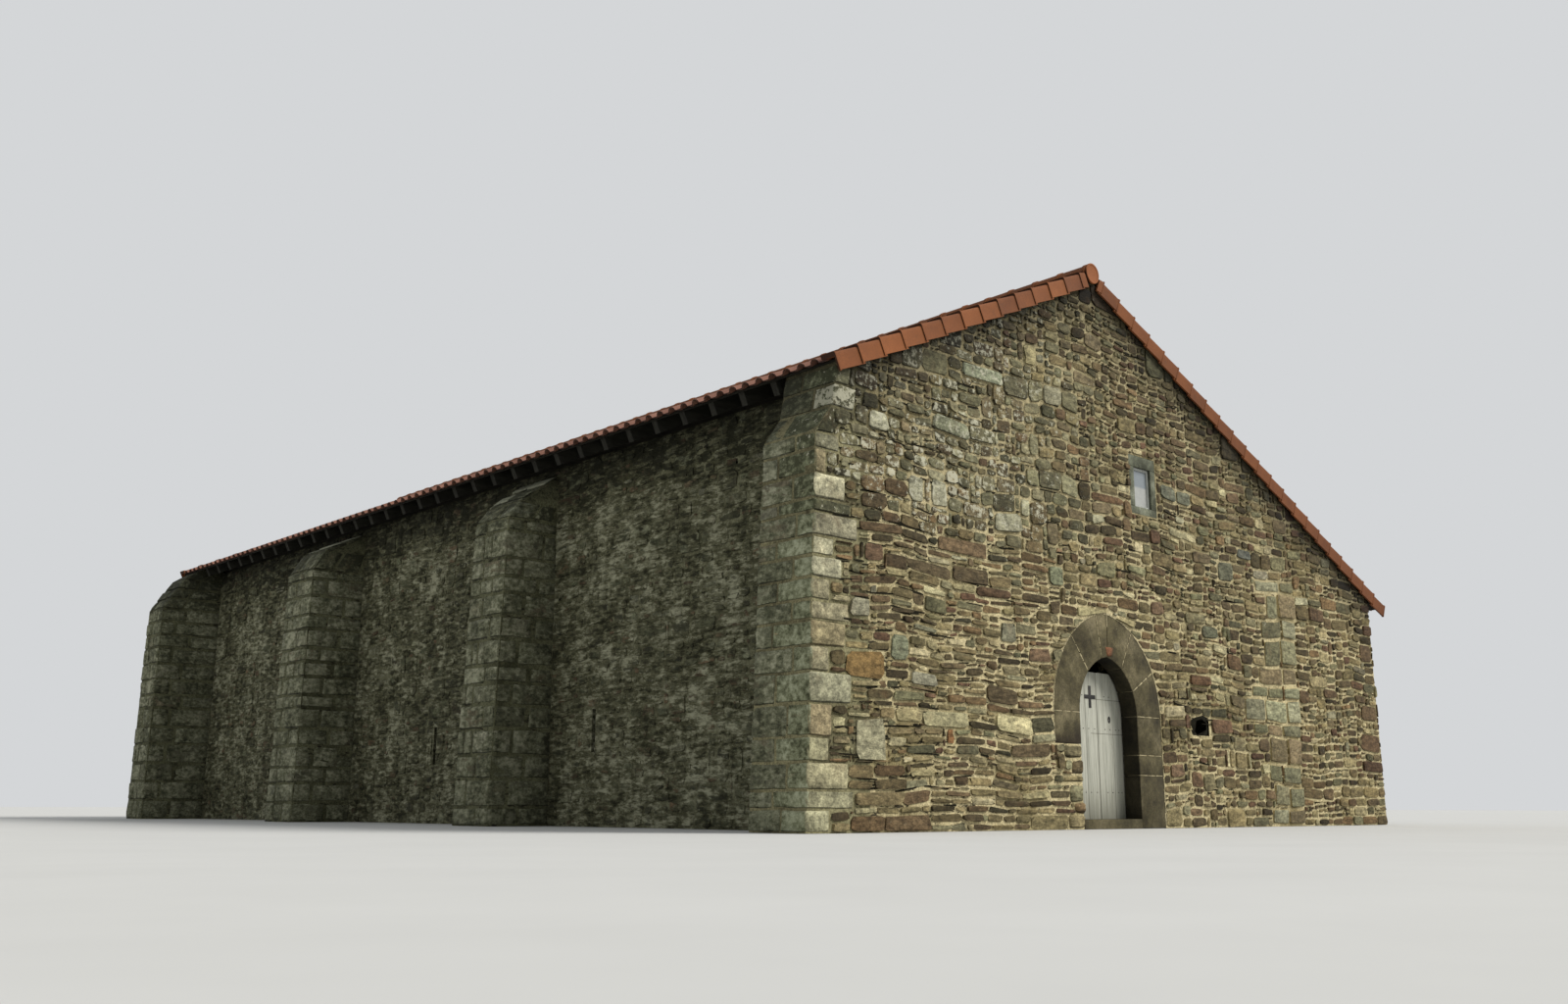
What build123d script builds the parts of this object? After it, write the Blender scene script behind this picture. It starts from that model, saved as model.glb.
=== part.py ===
from build123d import *
import os
from math import atan2, cos, hypot, radians, sin, tan

# Small stone chapel with an off-centre ridge, four battered buttresses and a pointed doorway.
# Millimetres. The front gable faces -Y, the buttresses stand on the -X side and Z = 0 is the ground.
# The origin is the middle of the rectangle of the four walls, at ground level.

# Plan of the nave, over the outer faces of its walls
nave_length = 18400
nave_width = 11280
wall_thickness = 600

# Roof: both slopes have one pitch, and the ridge stands nearer the left wall
roof_pitch = 25.3
ridge_from_left = 4114
verge_height_at_ridge = 6758
left_eave_overhang = 453
right_eave_overhang = 365

# Layers of the roof, measured square to the slope upwards from the lower edge of the verge tiles
verge_depth = 130
tile_height = 65
tile_pan_height = 20
board_thickness = 28
rafter_depth = 155
board_setback = 60
tail_setback = 95

# Columns of the field tiles, each with one roll that runs from the ridge bed to the eave.
# The roll is drawn in four flats: shares of its width from its middle, and of its height.
tile_column_width = 217.5
tile_roll_width = 124
tile_roll_shape = ((-0.5, 0), (-0.31, 0.72), (0, 1), (0.31, 0.72), (0.5, 0))
ridge_bed_run = 180

# Verge tiles turn down over the edge of the roof at both gables
verge_overhang = 80
verge_flap_thickness = 25
verge_cover = 120
verge_fillet = 18
board_end_gap = 5
verge_flap_stop = 140

# Ridge tiles and the round caps that close their ends
ridge_half_width = 160
ridge_crown_rise = 66
ridge_cap_radius = 135
ridge_cap_thickness = 25
ridge_cap_drop = 135

# Timbers under the roof boards
ridge_beam_width = 120
ridge_beam_depth = 260
rafter_width = 90
rafter_count = 32
rafter_end_space = 355
purlin_width = 160
purlin_depth = 200
left_purlin_shares = (0.5,)
right_purlin_shares = (0.34, 0.67)
plate_width = 200
plate_setback = 100
plate_depth = 104

# Doorway: a pointed arch of dressed stones on dressed jambs, with a wider recess behind for the leaf
door_centre_from_left = 4121
door_clear_width = 1170
door_springing = 1330
door_arch_rise = 681
arch_ring_width = 510
arch_ring_rise = 528
arch_stone_depth = 225
arch_joint_angles = (30, 62, 88, 99, 128)
mortar_joint = 4
left_jamb_beds = (550, 963)
right_jamb_beds = (626, 865)
haunch_rise = 470
haunch_cover = 150
wall_over_door_top = 2750
recess_side_clearance = 50
recess_head_clearance = 75
rear_lintel_depth = 180
rear_lintel_bearing = 150
threshold_height = 110
floor_thickness = 90

# Small blind socket in the wall to the right of the doorway
socket_from_door = 2030
socket_width = 400
socket_height = 220
socket_bottom = 1150
socket_depth = 240

# Door leaf, hung on its left edge and opening inwards
leaf_lap = 40
leaf_face_gap = 14
plank_thickness = 30
leaf_floor_gap = 12
leaf_head_height = 1850
ledge_thickness = 28
ledge_height = 110
ledge_inset = 60
ledge_heights = (420, 1170, 1565)
strap_heights = (420, 1170)
strap_names = ("lower", "upper")
strap_thickness = 6
strap_height = 50
strap_reach = 760
strap_tip_radius = 16
hinge_from_leaf = 22
hinge_eye_radius = 16
pin_radius = 8
pin_clearance = 0.5
pin_above_eye = 20
pintle_gap = 5
pintle_arm_height = 16
pintle_plate_thickness = 8
pintle_plate_width = 44
pintle_plate_height = 80

# Iron cross, keyhole plate and rim lock of the leaf, placed from the middle of the doorway
cross_from_centre = -44
cross_height_above_ground = 1550
cross_width = 220
cross_tall = 265
cross_bar = 46
cross_thickness = 6
escutcheon_from_centre = 338
escutcheon_height_above_ground = 1290
escutcheon_width = 52
escutcheon_tall = 84
escutcheon_thickness = 3
keyhole_radius = 7
keyhole_slot = 26
lock_width = 260
lock_tall = 130
lock_thickness = 38
lock_bolt_tall = 32
lock_bolt_thickness = 14

# Window in the gable, with a dressed surround
window_from_left = 5111
window_width = 370
window_sill_height = 4000
window_height = 520
surround_width = 110
window_lintel_height = 150
window_sill_depth = 100
frame_setback = 35
frame_bar = 28
frame_depth = 40
glass_thickness = 4

# Slit openings in the left wall, splayed to the inside, each in its own bay of the wall
slit_positions = (4760, 8750)
slit_width = 75
slit_height = 530
slit_bottoms = (900, 830)
slit_splay_width = 360
slit_splay_height = 760
slit_bay_width = 640

# Buttresses from front to back: width, projection at foot and shoulder, and the knee of the top
buttress_names = ("front_corner", "second", "third", "rear_corner")
buttress_widths = (810, 850, 950, 800)
buttress_foot_projections = (874, 874, 930, 1100)
buttress_shoulder_projections = (734, 734, 850, 1064)
buttress_knee_runs = (220, 170, 200, 380)
buttress_knee_rises = (300, 240, 340, 620)
second_buttress_start = 5730
third_buttress_start = 11400
buttress_side_taper = 40
buttress_shoulder_below_ridge = 2828

# The middle buttresses end under the top of the wall, and the corner ones run up to the roof boards
middle_buttress_top_gap = 110
corner_head_run = 420

# Places worked out from the sizes above
pitch = radians(roof_pitch)
x_left = -nave_width / 2
x_right = nave_width / 2
y_front = -nave_length / 2
y_back = nave_length / 2
x_ridge = x_left + ridge_from_left
y_front_inside = y_front + wall_thickness
y_back_inside = y_back - wall_thickness
board_top = verge_depth
board_bottom = board_top - board_thickness
rafter_bottom = board_bottom - rafter_depth
tile_top = verge_depth + tile_height

x_door = x_left + door_centre_from_left
half_door = door_clear_width / 2
x_jamb_left = x_door - half_door
x_jamb_right = x_door + half_door
x_ring_left = x_jamb_left - arch_ring_width
x_ring_right = x_jamb_right + arch_ring_width
arch_top = door_springing + door_arch_rise
y_recess = y_front + arch_stone_depth
y_leaf = y_recess + leaf_face_gap
y_ledge = y_leaf + plank_thickness
y_strap = y_ledge + ledge_thickness
leaf_bottom = floor_thickness + leaf_floor_gap
x_leaf_left = x_jamb_left - leaf_lap
x_leaf_right = x_jamb_right + leaf_lap
x_hinge = x_leaf_left - hinge_from_leaf
y_hinge = y_strap + hinge_eye_radius
x_recess_left = x_hinge - recess_side_clearance
x_recess_right = x_leaf_right + recess_side_clearance
recess_top = arch_top + leaf_lap + recess_head_clearance
haunch_height = door_springing + haunch_rise

x_window = x_left + window_from_left
x_surround_left = x_window - window_width / 2 - surround_width
x_surround_right = x_window + window_width / 2 + surround_width
rear_buttress_start = nave_length - buttress_widths[-1]
buttress_shoulder = verge_height_at_ridge - buttress_shoulder_below_ridge
buttress_starts = (0, second_buttress_start, third_buttress_start, rear_buttress_start)
window_top = window_sill_height + window_height
surround_bottom = window_sill_height - window_sill_depth
surround_top = window_top + window_lintel_height

os.makedirs("parts", exist_ok=True)


def save(piece, name):
    """Label a finished piece and write it as one file."""
    piece.part.label = name
    export_step(piece.part, f"parts/{name}.step")


def upright(y):
    """Plane at depth y, drawn with X across and Z up; a negative extrusion goes towards +Y."""
    return Plane.XZ.offset(-y)


def roof_height(x, offset):
    """Height at x of the layer that lies this far above the verge line, square to the slope."""
    return verge_height_at_ridge - abs(x - x_ridge) * tan(pitch) + offset / cos(pitch)


def on_slope(side, distance, offset):
    """Point this far down a slope from the ridge and this far above the verge line."""
    x = x_ridge + side * (distance * cos(pitch) + offset * sin(pitch))
    z = verge_height_at_ridge - distance * sin(pitch) + offset * cos(pitch)
    return x, z


def at_run(side, run, offset):
    """Point of a layer at this level distance from the ridge."""
    x = x_ridge + side * run
    return x, roof_height(x, offset)


def eave_distance(side):
    """Length of a slope from the ridge to the lower edge of its last tiles."""
    if side < 0:
        return (ridge_from_left + left_eave_overhang) / cos(pitch)
    return (nave_width - ridge_from_left + right_eave_overhang) / cos(pitch)


def layer_outline(side, start_run, setback, low, high):
    """Outline of a roof layer: cut upright at its top end and square to the slope at its eave."""
    end = eave_distance(side) - setback
    return [
        at_run(side, start_run, low),
        at_run(side, start_run, high),
        on_slope(side, end, high),
        on_slope(side, end, low),
    ]


def ridge_bed_outline(side):
    """Outline of the bed that the ridge tiles lie on, cut upright at the ridge and square below."""
    return [
        at_run(side, 0, verge_depth),
        at_run(side, 0, tile_top),
        on_slope(side, ridge_bed_run, tile_top),
        on_slope(side, ridge_bed_run, verge_depth),
    ]


def roofline(x_start, x_end, base):
    """Outline of a wall between two places, from its base up to the roof boards."""
    points = [(x_start, base), (x_start, roof_height(x_start, board_bottom))]
    if x_start < x_ridge < x_end:
        points.append((x_ridge, roof_height(x_ridge, board_bottom)))
    points.append((x_end, roof_height(x_end, board_bottom)))
    points.append((x_end, base))
    return points


def wall_slab(name, points, y_start, depth):
    """Piece of wall with a straight-sided outline in elevation."""
    with BuildPart() as wall:
        with BuildSketch(upright(y_start)):
            Polygon(*points, align=None)
        extrude(amount=-depth)
    save(wall, name)


def block(name, x_range, y_range, z_range):
    """Plain squared block between two corners."""
    with BuildPart() as piece:
        add_block(x_range, y_range, z_range)
    save(piece, name)


def add_block(x_range, y_range, z_range):
    """Squared block in the part that is open."""
    with Locations((sum(x_range) / 2, sum(y_range) / 2, sum(z_range) / 2)):
        Box(x_range[1] - x_range[0], y_range[1] - y_range[0], z_range[1] - z_range[0])


def arch_outline(half_width, rise, base):
    """Two-centred pointed arch over a doorway, with straight sides down to its base."""
    radius = (half_width ** 2 + rise ** 2) / (2 * half_width)
    centre_shift = radius - half_width
    half_sweep = atan2(rise, centre_shift) / 2
    side_run = radius * cos(half_sweep) - centre_shift
    side_rise = radius * sin(half_sweep)
    crown = (x_door, door_springing + rise)
    right_foot = (x_door + half_width, door_springing)
    left_foot = (x_door - half_width, door_springing)
    with BuildSketch() as outline:
        with BuildLine():
            Line((x_door - half_width, base), (x_door + half_width, base))
            Line((x_door + half_width, base), right_foot)
            ThreePointArc(right_foot, (x_door + side_run, door_springing + side_rise), crown)
            ThreePointArc(crown, (x_door - side_run, door_springing + side_rise), left_foot)
            Line(left_foot, (x_door - half_width, base))
        make_face()
    return outline.sketch


# Room for the doorway: the arch stones in front, and behind them the recess with its lintel's bed
lintel_top = recess_top + rear_lintel_depth
x_bed_left = x_recess_left - rear_lintel_bearing
x_bed_right = x_recess_right + rear_lintel_bearing
with BuildPart() as doorway_room:
    with BuildSketch(upright(y_front)):
        add(arch_outline(half_door + arch_ring_width, door_arch_rise + arch_ring_rise, 0))
    extrude(amount=-arch_stone_depth)
    add_block((x_recess_left, x_recess_right), (y_recess, y_front_inside), (0, recess_top))
    add_block((x_bed_left, x_bed_right), (y_recess, y_front_inside), (recess_top, lintel_top))


# Front wall beside the doorway, stepped back over the haunches of the arch
x_over_left = x_ring_left - haunch_cover
x_over_right = x_ring_right + haunch_cover

with BuildPart() as front_wall_left:
    with BuildSketch(upright(y_front)):
        Polygon(
            (x_left, 0),
            (x_left, wall_over_door_top),
            (x_over_left, wall_over_door_top),
            (x_over_left, haunch_height),
            (x_door, haunch_height),
            (x_door, 0),
            align=None,
        )
    extrude(amount=-wall_thickness)
    add(doorway_room.part, mode=Mode.SUBTRACT)
save(front_wall_left, "front_wall_left")

with BuildPart() as front_wall_right:
    with BuildSketch(upright(y_front)):
        Polygon(
            (x_right, 0),
            (x_right, wall_over_door_top),
            (x_over_right, wall_over_door_top),
            (x_over_right, haunch_height),
            (x_door, haunch_height),
            (x_door, 0),
            align=None,
        )
    extrude(amount=-wall_thickness)
    add(doorway_room.part, mode=Mode.SUBTRACT)
    with BuildSketch(upright(y_front)):
        with Locations((x_door + socket_from_door, socket_bottom + socket_height / 2)):
            Rectangle(socket_width, socket_height)
    extrude(amount=-socket_depth, mode=Mode.SUBTRACT)
save(front_wall_right, "front_wall_right")

with BuildPart() as front_wall_over_door:
    add_block((x_over_left, x_over_right), (y_front, y_front_inside), (haunch_height, wall_over_door_top))
    add(doorway_room.part, mode=Mode.SUBTRACT)
save(front_wall_over_door, "front_wall_over_door")

# Gable above the doorway, split beside the window
left_gable = roofline(x_left, x_surround_left, wall_over_door_top)
wall_slab("front_gable_left", left_gable, y_front, wall_thickness)
right_gable = roofline(x_surround_right, x_right, wall_over_door_top)
wall_slab("front_gable_right", right_gable, y_front, wall_thickness)

with BuildPart() as front_wall_at_window:
    wall_width = (x_surround_left, x_surround_right)
    add_block(wall_width, (y_front, y_front_inside), (wall_over_door_top, surround_bottom))
    with BuildSketch(upright(y_front)):
        Polygon(*roofline(x_surround_left, x_surround_right, surround_top), align=None)
    extrude(amount=-wall_thickness)
save(front_wall_at_window, "front_wall_at_window")

# Back gable
wall_slab("back_wall", roofline(x_left, x_right, 0), y_back_inside, wall_thickness)

# Side walls between the gables, level on top for the wall plates
left_wall_top = roof_height(x_left + plate_setback, rafter_bottom) - plate_depth
right_wall_top = roof_height(x_right - plate_setback, rafter_bottom) - plate_depth
left_wall_x = (x_left, x_left + wall_thickness)
right_wall_x = (x_right - wall_thickness, x_right)


def bay_edges(position):
    """Both sides of the bay of wall that holds a slit."""
    middle = y_front + position
    return middle - slit_bay_width / 2, middle + slit_bay_width / 2


def slit_bay(name, position, bottom):
    """Bay of the left wall with a slit that widens towards the inside."""
    middle = y_front + position
    centre_height = bottom + slit_height / 2
    with BuildPart() as bay:
        add_block(left_wall_x, bay_edges(position), (0, left_wall_top))
        with BuildSketch(Plane.YZ.offset(x_left)):
            with Locations((middle, centre_height)):
                Rectangle(slit_width, slit_height)
        with BuildSketch(Plane.YZ.offset(x_left + wall_thickness)):
            with Locations((middle, centre_height)):
                Rectangle(slit_splay_width, slit_splay_height)
        loft(mode=Mode.SUBTRACT)
    save(bay, name)


front_bay = bay_edges(slit_positions[0])
rear_bay = bay_edges(slit_positions[1])
block("left_wall_front", left_wall_x, (y_front_inside, front_bay[0]), (0, left_wall_top))
slit_bay("slit_bay_front", slit_positions[0], slit_bottoms[0])
block("left_wall_middle", left_wall_x, (front_bay[1], rear_bay[0]), (0, left_wall_top))
slit_bay("slit_bay_rear", slit_positions[1], slit_bottoms[1])
block("left_wall_rear", left_wall_x, (rear_bay[1], y_back_inside), (0, left_wall_top))
block("right_wall", right_wall_x, (y_front_inside, y_back_inside), (0, right_wall_top))


def buttress(name, start, width, foot, shoulder, knee, head, taper_near, taper_far):
    """Battered buttress whose weathered top turns in at a knee; its head has its own outline."""
    y_near = y_front + start
    y_far = y_near + width
    with BuildPart() as pier:
        with BuildSketch(Plane.XY):
            with Locations((x_left - foot / 2, (y_near + y_far) / 2)):
                Rectangle(foot, width)
        with BuildSketch(Plane.XY.offset(buttress_shoulder)):
            with Locations((x_left - shoulder / 2, (y_near + taper_near + y_far - taper_far) / 2)):
                Rectangle(shoulder, width - taper_near - taper_far)
        loft()
        with BuildSketch(upright(y_near + taper_near)):
            Polygon(
                (x_left, buttress_shoulder),
                *head,
                (x_left - shoulder + knee[0], buttress_shoulder + knee[1]),
                (x_left - shoulder, buttress_shoulder),
                align=None,
            )
        extrude(amount=-(width - taper_near - taper_far))
    save(pier, f"buttress_{name}")


x_corner_head = x_left - corner_head_run
middle_head = [(x_left, left_wall_top - middle_buttress_top_gap)]
corner_head = [(x, roof_height(x, board_bottom)) for x in (x_left, x_corner_head)]
last_buttress = len(buttress_names) - 1
for index, name in enumerate(buttress_names):
    at_corner = index in (0, last_buttress)
    buttress(
        name,
        buttress_starts[index],
        buttress_widths[index],
        buttress_foot_projections[index],
        buttress_shoulder_projections[index],
        (buttress_knee_runs[index], buttress_knee_rises[index]),
        corner_head if at_corner else middle_head,
        0 if index == 0 else buttress_side_taper,
        buttress_side_taper if index == 0 else 0,
    )


def jamb(name, x_range, beds):
    """Dressed blocks of one jamb, parted by mortar joints at the given heights."""
    edges = [0]
    for bed in beds:
        edges += [bed - mortar_joint / 2, bed + mortar_joint / 2]
    edges.append(door_springing)
    with BuildPart() as blocks:
        for low, high in zip(edges[0::2], edges[1::2]):
            add_block(x_range, (y_front, y_recess), (low, high))
    save(blocks, name)


jamb("door_jamb_left", (x_ring_left, x_jamb_left), left_jamb_beds)
jamb("door_jamb_right", (x_jamb_right, x_ring_right), right_jamb_beds)

# Arch stones: the ring between two pointed arches, parted along joints that fan from its middle
with BuildPart() as door_arch:
    with BuildSketch(upright(y_front)):
        add(arch_outline(half_door + arch_ring_width, door_arch_rise + arch_ring_rise, 0))
        add(arch_outline(half_door, door_arch_rise, 0), mode=Mode.SUBTRACT)
        reach = hypot(half_door + arch_ring_width, door_arch_rise + arch_ring_rise)
        for angle in arch_joint_angles:
            joint_middle = Vector(reach / 2, 0).rotate(Axis.Z, angle)
            with Locations(Location((x_door + joint_middle.X, door_springing + joint_middle.Y), angle)):
                Rectangle(reach, mortar_joint, mode=Mode.SUBTRACT)
        with Locations((x_door, door_springing / 2)):
            Rectangle(2 * reach, door_springing, mode=Mode.SUBTRACT)
    extrude(amount=-arch_stone_depth)
save(door_arch, "door_arch")

block("door_rear_lintel", (x_bed_left, x_bed_right), (y_recess, y_front_inside), (recess_top, lintel_top))
block("door_threshold", (x_jamb_left, x_jamb_right), (y_front, y_recess), (0, threshold_height))

# Floor of the nave, which runs on into the recess behind the door
with BuildPart() as floor_slab:
    add_block(
        (x_left + wall_thickness, x_right - wall_thickness),
        (y_front_inside, y_back_inside),
        (0, floor_thickness),
    )
    add_block((x_recess_left, x_recess_right), (y_recess, y_front_inside), (0, floor_thickness))
save(floor_slab, "floor_slab")

# Door leaf: one board face that laps behind the arch stones, cut off level under the arch's tip
with BuildPart() as door_planks:
    with BuildSketch(upright(y_leaf)):
        add(arch_outline(half_door + leaf_lap, door_arch_rise + leaf_lap, leaf_bottom))
        with Locations((x_door, leaf_head_height + door_arch_rise / 2)):
            Rectangle(door_clear_width + 2 * leaf_lap, door_arch_rise, mode=Mode.SUBTRACT)
    extrude(amount=-plank_thickness)
save(door_planks, "door_planks")

with BuildPart() as door_ledges:
    for height in ledge_heights:
        with BuildSketch(upright(y_ledge)):
            with Locations((x_door, height)):
                Rectangle(door_clear_width + 2 * leaf_lap - 2 * ledge_inset, ledge_height)
        extrude(amount=-ledge_thickness)
save(door_ledges, "door_ledges")

for name, height in zip(strap_names, strap_heights):
    eye_bottom = height - strap_height / 2
    with BuildPart() as strap:
        with BuildSketch(upright(y_strap)):
            with Locations((x_hinge + strap_reach / 2, height)):
                Rectangle(strap_reach, strap_height)
            with Locations((x_hinge + strap_reach, height)):
                Circle(strap_height / 2 + strap_tip_radius / 2)
        extrude(amount=-strap_thickness)
        with BuildSketch(Plane.XY.offset(eye_bottom)):
            with Locations((x_hinge, y_hinge)):
                Circle(hinge_eye_radius)
        extrude(amount=strap_height)
        with BuildSketch(Plane.XY.offset(eye_bottom)):
            with Locations((x_hinge, y_hinge)):
                Circle(pin_radius + pin_clearance)
        extrude(amount=strap_height, mode=Mode.SUBTRACT)
    save(strap, f"door_strap_{name}")

    arm_top = eye_bottom - pintle_gap
    with BuildPart() as pintle:
        with BuildSketch(Plane.YZ.offset(x_recess_left)):
            with Locations((y_hinge, arm_top - pintle_arm_height / 2)):
                RectangleRounded(pintle_plate_width, pintle_plate_height, pin_radius)
        extrude(amount=pintle_plate_thickness)
        add_block(
            (x_recess_left, x_hinge),
            (y_hinge - pin_radius, y_hinge + pin_radius),
            (arm_top - pintle_arm_height, arm_top),
        )
        with BuildSketch(Plane.XY.offset(arm_top - pintle_arm_height)):
            with Locations((x_hinge, y_hinge)):
                Circle(pin_radius)
        extrude(amount=pintle_arm_height + pintle_gap + strap_height + pin_above_eye)
    save(pintle, f"pintle_{name}")

with BuildPart() as door_iron_cross:
    with BuildSketch(upright(y_leaf)):
        with Locations((x_door + cross_from_centre, cross_height_above_ground)):
            Rectangle(cross_width, cross_bar)
            Rectangle(cross_bar, cross_tall)
    extrude(amount=cross_thickness)
save(door_iron_cross, "door_iron_cross")

with BuildPart() as door_escutcheon:
    with BuildSketch(upright(y_leaf)):
        with Locations((x_door + escutcheon_from_centre, escutcheon_height_above_ground)):
            Ellipse(escutcheon_width / 2, escutcheon_tall / 2)
            Circle(keyhole_radius, mode=Mode.SUBTRACT)
        with Locations((x_door + escutcheon_from_centre, escutcheon_height_above_ground - keyhole_slot / 2)):
            Rectangle(keyhole_radius, keyhole_slot, mode=Mode.SUBTRACT)
    extrude(amount=escutcheon_thickness)
save(door_escutcheon, "door_escutcheon")

# Rim lock on the inside, level with the keyhole, with its bolt behind the right jamb
x_lock_right = x_leaf_right - ledge_inset / 2
with BuildPart() as door_lock:
    add_block(
        (x_lock_right - lock_width, x_lock_right),
        (y_ledge, y_ledge + lock_thickness),
        (escutcheon_height_above_ground - lock_tall / 2, escutcheon_height_above_ground + lock_tall / 2),
    )
    chamfer(door_lock.faces().sort_by(Axis.Y)[-1].edges(), length=pin_radius / 2)
    add_block(
        (x_lock_right, x_leaf_right + ledge_inset / 4),
        (y_ledge + lock_bolt_thickness, y_ledge + 2 * lock_bolt_thickness),
        (
            escutcheon_height_above_ground - lock_bolt_tall / 2,
            escutcheon_height_above_ground + lock_bolt_tall / 2,
        ),
    )
save(door_lock, "door_lock")

# Window: four dressed stones as deep as the wall, a frame set back in them and one pane
wall_depth = (y_front, y_front_inside)
block("window_sill", (x_surround_left, x_surround_right), wall_depth, (surround_bottom, window_sill_height))
block("window_lintel", (x_surround_left, x_surround_right), wall_depth, (window_top, surround_top))
block(
    "window_jamb_left",
    (x_surround_left, x_surround_left + surround_width),
    wall_depth,
    (window_sill_height, window_top),
)
block(
    "window_jamb_right",
    (x_surround_right - surround_width, x_surround_right),
    wall_depth,
    (window_sill_height, window_top),
)
window_middle = window_sill_height + window_height / 2
with BuildPart() as window_frame:
    with BuildSketch(upright(y_front + frame_setback)):
        with Locations((x_window, window_middle)):
            Rectangle(window_width, window_height)
            Rectangle(window_width - 2 * frame_bar, window_height - 2 * frame_bar, mode=Mode.SUBTRACT)
    extrude(amount=-frame_depth)
save(window_frame, "window_frame")

with BuildPart() as window_glass:
    with BuildSketch(upright(y_front + frame_setback + (frame_depth - glass_thickness) / 2)):
        with Locations((x_window, window_middle)):
            Rectangle(window_width - 2 * frame_bar, window_height - 2 * frame_bar)
    extrude(amount=-glass_thickness)
save(window_glass, "window_glass")

# Wall plates, flat on the side walls and bevelled to the underside of the rafters
inside_length = nave_length - 2 * wall_thickness
with BuildPart() as wall_plates:
    for side, x_face, wall_top in ((-1, x_left, left_wall_top), (1, x_right, right_wall_top)):
        outer = x_face - side * plate_setback
        inner = outer - side * plate_width
        with BuildSketch(upright(y_front_inside)):
            Polygon(
                (outer, wall_top),
                (outer, roof_height(outer, rafter_bottom)),
                (inner, roof_height(inner, rafter_bottom)),
                (inner, wall_top),
                align=None,
            )
        extrude(amount=-inside_length)
save(wall_plates, "wall_plates")

# Ridge beam and purlins, which run from gable to gable
half_beam = ridge_beam_width / 2
beam_bottom = roof_height(x_ridge, board_bottom) - ridge_beam_depth
with BuildPart() as ridge_beam:
    with BuildSketch(upright(y_front_inside)):
        Polygon(
            (x_ridge - half_beam, beam_bottom),
            at_run(-1, half_beam, board_bottom),
            at_run(-1, 0, board_bottom),
            at_run(1, half_beam, board_bottom),
            (x_ridge + half_beam, beam_bottom),
            align=None,
        )
    extrude(amount=-inside_length)
save(ridge_beam, "ridge_beam")

with BuildPart() as purlins:
    for side, shares in ((-1, left_purlin_shares), (1, right_purlin_shares)):
        for share in shares:
            middle = share * eave_distance(side)
            low_end = middle + purlin_width / 2
            high_end = middle - purlin_width / 2
            with BuildSketch(upright(y_front_inside)):
                Polygon(
                    on_slope(side, high_end, rafter_bottom),
                    on_slope(side, low_end, rafter_bottom),
                    on_slope(side, low_end, rafter_bottom - purlin_depth),
                    on_slope(side, high_end, rafter_bottom - purlin_depth),
                    align=None,
                )
            extrude(amount=-inside_length)
save(purlins, "purlins")


def tile_section(length, low, high):
    """Outline across the columns of field tiles: flat pans between evenly spaced rolls."""
    columns = int(length / tile_column_width)
    spacing = length / columns
    points = [(-length / 2, 0), (-length / 2, low)]
    for column in range(columns):
        middle = (column + 0.5) * spacing - length / 2
        for across, up in tile_roll_shape:
            points.append((middle + across * tile_roll_width, low + up * (high - low)))
    points += [(length / 2, low), (length / 2, 0)]
    return points


# Rafters butt against the ridge beam and run out past the walls as open tails
rafter_span = inside_length - 2 * rafter_end_space - rafter_width
rafter_spacing = rafter_span / (rafter_count - 1)
boards_y = y_front - verge_overhang + verge_flap_thickness + board_end_gap
boards_length = 2 * -boards_y
field_y = y_front + verge_cover
for side, word in ((-1, "left"), (1, "right")):
    with BuildPart() as rafters:
        for index in range(rafter_count):
            y_rafter = y_front_inside + rafter_end_space + index * rafter_spacing
            with BuildSketch(upright(y_rafter)):
                rafter = layer_outline(side, half_beam, tail_setback, rafter_bottom, board_bottom)
                Polygon(*rafter, align=None)
            extrude(amount=-rafter_width)
    save(rafters, f"rafters_{word}")

    with BuildPart() as roof_boards:
        with BuildSketch(upright(boards_y)):
            Polygon(*layer_outline(side, 0, board_setback, board_bottom, board_top), align=None)
        extrude(amount=-boards_length)
    save(roof_boards, f"roof_boards_{word}")

    eave_x, eave_z = on_slope(side, eave_distance(side), verge_depth)
    eave_plane = Plane(
        origin=(eave_x, 0, eave_z),
        x_dir=(0, -side, 0),
        z_dir=(-side * cos(pitch), 0, sin(pitch)),
    )
    with BuildPart() as tile_field:
        with BuildSketch(eave_plane):
            Polygon(*tile_section(-2 * field_y, tile_pan_height, tile_height), align=None)
        extrude(amount=eave_distance(side) - ridge_bed_run)
        with BuildSketch(upright(field_y)):
            Polygon(*ridge_bed_outline(side), align=None)
        extrude(amount=2 * field_y)
    save(tile_field, f"tile_field_{word}")

# Verge tiles: a flap that hides the edge of the roof, and a top that covers the first tiles
verge_y = y_front - verge_overhang
verge_inner_y = verge_y + verge_flap_thickness
verge_top_depth = field_y - verge_inner_y


with BuildPart() as verge_tiles_front:
    for side in (-1, 1):
        with BuildSketch(upright(verge_y)):
            Polygon(*layer_outline(side, verge_flap_stop, 0, 0, tile_top), align=None)
        extrude(amount=-verge_flap_thickness)
        with BuildSketch(upright(verge_inner_y)):
            Polygon(*layer_outline(side, mortar_joint / 2, 0, verge_depth, tile_top), align=None)
        extrude(amount=-verge_top_depth)
        top_edge_middle = on_slope(side, eave_distance(side) / 2, tile_top)
        top_edge = verge_tiles_front.edges().sort_by_distance(
            (top_edge_middle[0], verge_y, top_edge_middle[1])
        )[0]
        fillet(top_edge, radius=verge_fillet)
save(verge_tiles_front, "verge_tiles_front")

with BuildPart() as verge_tiles_back:
    add(verge_tiles_front.part)
    mirror(about=Plane.XZ, mode=Mode.REPLACE)
save(verge_tiles_back, "verge_tiles_back")

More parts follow.
